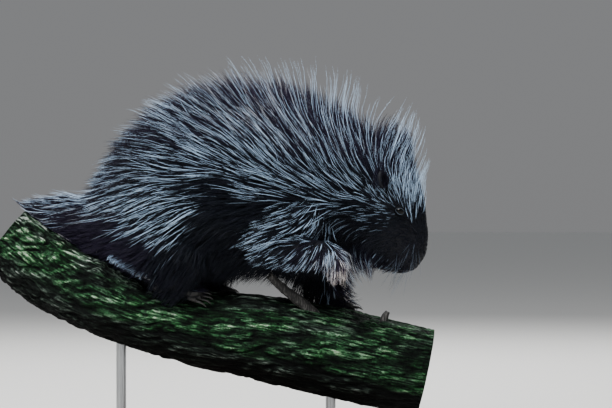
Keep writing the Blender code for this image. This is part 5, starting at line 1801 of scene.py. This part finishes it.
# %% The hairs of a tuft
UNDERFUR_SHARE = 0.38
STRAY_SHARE = 0.12
LONG_SHARE = 0.12
PALE_GUARDS = 0.85
DARK_GUARDS = 0.06
GATHER = 0.88
UNDERFUR_GATHER = 0.45
STRAY_GATHER = 0.1
MOST_GATHER = 0.94
WANDER = 0.028
STRAY_WANDER = 0.10
STRAY_OUT = 0.05
DIMMEST = 0.22
FULL_GLOW = 0.22
UNDERFUR_PALE = 0.008
UNDERFUR_WIDER = 1.3
MOST_BEND = 0.45


def hair_lines(paths, owner, root, out, length, reach, guard, stray, chance):
    """The line of each hair: its tuft's path from its own root, with a little wander."""
    count = len(root)
    centres = follow(paths, owner, SHARES[None, :] * reach[:, None])
    offset = root - paths[owner, 0]
    draw = np.where(guard, GATHER, UNDERFUR_GATHER) * np.where(stray, STRAY_GATHER, 1.0)
    draw = np.clip(draw * chance.uniform(0.75, 1.2, count), 0, MOST_GATHER)
    close = 1 - draw[:, None] * SHARES[None, :] ** 0.75
    centres += offset[:, None, :] * close[..., None]
    wander = chance.normal(size=(count, 3)) * np.where(stray, STRAY_WANDER, WANDER)[:, None]
    wander += out * np.where(stray, STRAY_OUT, 0.0)[:, None]
    bend = length[owner][:, None, None] * wander[:, None, :] * (SHARES ** 1.6)[None, :, None]
    centres = held_in(clear_of_limb(centres + bend))
    centres[:, 0] = root - out * ROOT_SUNK
    return centres


def runs_straight(paths):
    """Which paths have no kink in them."""
    steps = unit(np.diff(paths, axis=1))
    return dot(steps[:, 1:], steps[:, :-1]).min(axis=(1, 2)) > MOST_BEND


print("a hair that strays wanders by", STRAY_WANDER, "of its tuft's length")

# %% [markdown]
# ## One region of the coat
#
# A region's hairs are worked out together, one array for each choice: who is pale, who is long,
# who is underfur, who strays. Blender works faster on several middling meshes than on one huge
# one, so the hairs are handed over in parts.

# %% One region of the coat
MOST_HAIRS = 9000


def grow_region(region, number, chance):
    """All hairs of one region, as one or more meshes."""
    shape, start, end, per_cm2, width, to_a_tuft, field = REGIONS[region]
    place, angle = scatter(shape, start, end, per_cm2, chance)
    root, out, grows = rooted(shape, place, angle, field == "foot")
    place, angle, root, out = place[grows], angle[grows], root[grows], out[grows]
    count = len(root)
    chosen, owner = choose_tufts(root, place, angle, to_a_tuft)
    paths, length, dense = tuft_paths(field, root[chosen], out[chosen], chance)
    share, warmth = pale_shares(field, root[chosen], out[chosen], paths)
    is_pale = np.diff(np.floor(np.cumsum(share)), prepend=0.0) > 0
    is_long = (is_pale & (chance.random(len(chosen)) < LONG_SHARE))[owner]
    under = chance.random(count) < UNDERFUR_SHARE
    few = DARK_GUARDS * np.clip(share * 5, 0, 1)[owner]
    guard = ~under & (chance.random(count) < np.where(is_pale[owner], PALE_GUARDS, few))
    stray = guard & (chance.random(count) < STRAY_SHARE)
    reach = dense[owner] * chance.uniform(0.82, 1.08, count)
    reach = np.where(under, dense[owner] * chance.uniform(0.50, 1.00, count), reach)
    reach = np.where(guard & is_long, chance.uniform(0.85, 1.05, count), reach)
    centres = hair_lines(paths, owner, root, out, length, reach, guard, stray, chance)
    glow = DIMMEST + (1 - DIMMEST) * np.clip(share / FULL_GLOW, 0, 1)[owner]
    pale = np.where(guard, chance.uniform(0.70, 1.0, count) * glow, UNDERFUR_PALE)
    warm = np.clip(warmth[owner] + 0.2 * chance.uniform(-1, 1, count), 0, 1)
    thick = width * chance.uniform(0.75, 1.15, count) * np.where(under, UNDERFUR_WIDER, 1.0)
    patch = patch_places(number, shape, place, angle)
    kept = np.flatnonzero(clear_of_face(centres) & runs_straight(paths)[owner])
    made = []
    for part, rows in enumerate(np.array_split(kept, -(-len(kept) // MOST_HAIRS)), 1):
        made.append(hair_mesh(f"coat_{region}_{part}", centres[rows], thick[rows], out[rows],
                              patch[rows], pale[rows], warm[rows]))
    return made


print("hairs in a mesh:", MOST_HAIRS, "at most")

# %% [markdown]
# ## The whole coat
#
# The regions are grown one after the other from one stream of random numbers, so the coat is
# the same at each run. All of it is one material, and each mesh rides on the one body.

# %% The whole coat
chance = np.random.default_rng(7)
last_on_trunk = list(REGIONS).index("muzzle")
coat = []
for row, region in enumerate(REGIONS):
    grown = grow_region(region, max(0, row - last_on_trunk), chance)
    for piece in grown:
        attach(piece, "root")
    coat += grown
    print(region, sum(len(piece.data.polygons) for piece in grown), "triangles")
print("coat:", sum(len(piece.data.polygons) for piece in coat), "triangles in", len(coat), "pieces")

# %% [markdown]
# ## Single long guard hairs
#
# Beyond the dense coat stand single guard hairs, white to the tip. They are longest over nape
# and crown, where they make a thin halo against the light, and shorter along the forehead.

# %% Single long guard hairs
# Each row: start, end, hairs to the square centimetre, times the coat's length, times its lift
LONG_GUARDS = (
    (4.0, 8.5, 0.15, 1.05, 1.10), (8.5, 11.5, 0.32, 1.08, 1.15), (11.5, 13.4, 0.65, 1.08, 1.15),
    (13.4, 15.0, 1.40, 1.10, 1.20), (15.0, 17.0, 1.60, 1.15, 1.55),
)
LONG_WIDTH = 0.00056
HEAD_PLACE = 13.4
HEAD_TOP = 0.45
BODY_TOP = -0.05
LONG_SWING = 0.13
HIGHEST = 0.640


def grow_long_guards(chance):
    """Single hairs over the upper half of the body, each on a path of its own."""
    centres, outs, patches = [], [], []
    for start, end, per_cm2, longer, steeper in LONG_GUARDS:
        place, angle = scatter(body, start, end, per_cm2, chance)
        on_top = np.cos(angle) > np.where(place > HEAD_PLACE, HEAD_TOP, BODY_TOP)
        place, angle = place[on_top], angle[on_top]
        root, out, grows = rooted(body, place, angle, False)
        place, angle, root, out = place[grows], angle[grows], root[grows], out[grows]
        count = len(root)
        length = lie_at("body", root)[2] * longer * chance.uniform(0.82, 1.08, count)
        raised = steeper * chance.uniform(0.9, 1.15, count)
        swing = LONG_SWING * chance.normal(size=count)
        paths = grow_paths("body", root, out, length, raised, swing)
        shares = np.tile(SHARES, (count, 1))
        centres.append(follow(paths, np.arange(count), shares))
        outs.append(out)
        patches.append(patch_places(0, body, place, angle))
    centres = np.concatenate(centres)
    centres[..., 2] = np.minimum(centres[..., 2], HIGHEST)
    out = np.concatenate(outs)
    patch = np.concatenate(patches)
    clear = clear_of_face(centres)
    centres, out, patch = held_in(centres)[clear], out[clear], patch[clear]
    count = len(centres)
    return hair_mesh("long_guard_hairs", centres, np.full(count, LONG_WIDTH), out, patch,
                     chance.uniform(0.9, 1.0, count), np.full(count, 0.3))


long_guards = grow_long_guards(np.random.default_rng(9))
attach(long_guards, "root")
print("long guard hairs:", len(long_guards.data.polygons) // HAIR_TRIANGLES)

# %% [markdown]
# ## The pale fringe behind the haunch
#
# Where the tail meets the limb, a short white fringe hangs out from under the dark hair. It
# follows the edge of the limb for some six centimetres on both sides.

# %% The pale fringe behind the haunch
FRINGE_START = (-0.162, -0.046, 0.306)
FRINGE_END = (-0.106, -0.052, 0.287)
FRINGE_HAIRS = 220
FRINGE_LENGTH = 0.014
FRINGE_OUT = 0.015
FRINGE_WIDTH = 0.0008
FRINGE_UNEVEN = 0.0012


def make_fringe(chance):
    """Short hairs set along a line on each side, just outside the dark coat."""
    centres, outs = [], []
    for side in (1, -1):
        share = chance.random((FRINGE_HAIRS, 1))
        near = np.array(FRINGE_START) * (1 - share) + np.array(FRINGE_END) * share
        near[:, 1] *= side
        near += chance.normal(size=near.shape) * FRINGE_UNEVEN
        root, out = on_skin(near)
        root += out * FRINGE_OUT
        lie = unit(np.array([[-0.60, 0.0, -0.70]]) + chance.normal(size=near.shape) * 0.16)
        ahead = unit(lie + out * 0.6)
        length = FRINGE_LENGTH * chance.uniform(0.7, 1.2, (FRINGE_HAIRS, 1, 1))
        centres.append(root[:, None] + ahead[:, None] * length * SHARES[None, :, None])
        outs.append(out)
    centres = clear_of_limb(np.concatenate(centres))
    count = len(centres)
    patch = np.stack([np.linspace(0.84, 0.93, count), np.full(count, 0.32)], 1)
    return hair_mesh("haunch_fringe", centres, np.full(count, FRINGE_WIDTH),
                     np.concatenate(outs), patch, np.full(count, 1.0), np.full(count, 0.35))


fringe = make_fringe(np.random.default_rng(15))
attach(fringe, "root")
print("fringe:", 2 * FRINGE_HAIRS, "hairs")

# %% [markdown]
# ## Whiskers
#
# A few long bristles stand out each side of the muzzle and over the eye. They are the same
# kind of hair, thinner and nearly straight, curving down under their own weight.

# %% Whiskers
WHISKERS = 22
WHISKER_WIDTH = 0.00040


def make_whiskers(chance):
    """Bristles at random places on both sides of the muzzle."""
    roots, outs, tips = [], [], []
    for side in (-1, 1):
        place = chance.uniform(17.6, 20.4, WHISKERS)
        angle = np.radians(chance.uniform(60, 120, WHISKERS)) * side
        root, out = on_skin(body.surface(place, angle))
        back = np.stack([chance.uniform(-0.9, -0.1, WHISKERS), np.zeros(WHISKERS),
                         chance.uniform(-0.9, -0.3, WHISKERS)], 1)
        reach = chance.uniform(0.028, 0.055, WHISKERS)
        tips.append(unit(out * 0.7 + back) * reach[:, None])
        roots.append(root)
        outs.append(out)
    root, out, lean = (np.concatenate(rows) for rows in (roots, outs, tips))
    droop = np.array([-0.35, 0.0, -0.65]) * np.linalg.norm(lean, axis=1)[:, None] * 0.35
    centres = (root[:, None, :] + lean[:, None, :] * SHARES[None, :, None]
               + droop[:, None, :] * (SHARES ** 2)[None, :, None])
    count = len(root)
    patch = np.stack([np.linspace(0.84, 0.93, count), np.full(count, 0.30)], 1)
    return hair_mesh("whiskers", centres, np.full(count, WHISKER_WIDTH), out, patch,
                     np.full(count, 0.12), np.full(count, 0.2))


whiskers = make_whiskers(np.random.default_rng(12))
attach(whiskers, "root")
print("whiskers:", 2 * WHISKERS)

# %% [markdown]
# ## Floor and light
#
# The model stands on a plain pale floor. One broad soft light from above the camera's left is
# the key, a weaker one fills from the right, and one from behind lights the tips of the coat,
# as the open sky does in the photograph.

# %% Floor and light
FLOOR_HALF = 30.0
floor_finish, tree, shader = new_material("matt_pale_paint", roughness=0.85)
feed(tree, shader, {"Base Color": linear("DAD9D6")})
corners = np.array([(x * FLOOR_HALF, y * FLOOR_HALF, 0.0) for x in (-1, 1) for y in (-1, 1)])
floor = mesh_piece("floor", corners, np.array([[0, 2, 3], [0, 3, 1]]), floor_finish)

AIM = Vector((0.02, 0.0, 0.36))
LIGHTS = {
    "key": ((-1.3, -2.2, 3.1), 1.6, 310.0),
    "fill": ((2.6, -2.0, 1.3), 2.4, 14.0),
    "back": ((0.4, 2.4, 2.6), 1.8, 120.0),
}
for name, (where, size, power) in LIGHTS.items():
    data = bpy.data.lights.new(name, "AREA")
    data.shape = "DISK"
    data.size = size
    data.energy = power
    lamp = bpy.data.objects.new(name, data)
    lamp.location = where
    lamp.rotation_euler = (AIM - Vector(where)).to_track_quat("-Z", "Y").to_euler()
    bpy.context.scene.collection.objects.link(lamp)

world = bpy.data.worlds.new("studio")
world.use_nodes = True
sky = world.node_tree.nodes["Background"]
direction = add(world.node_tree, "TexCoord")
height = add(world.node_tree, "SeparateXYZ", {"Vector": direction.outputs["Generated"]})
wall = add(world.node_tree, "ValToRGB", {"Fac": height.outputs["Z"]}, stops=(
    (0.00, "CDCED0"), (0.18, "CDCFD2"), (0.60, "E9EDF2")))
feed(world.node_tree, sky, {"Color": wall.outputs[0], "Strength": 0.36})
bpy.context.scene.world = world
print("lights:", ", ".join(LIGHTS))
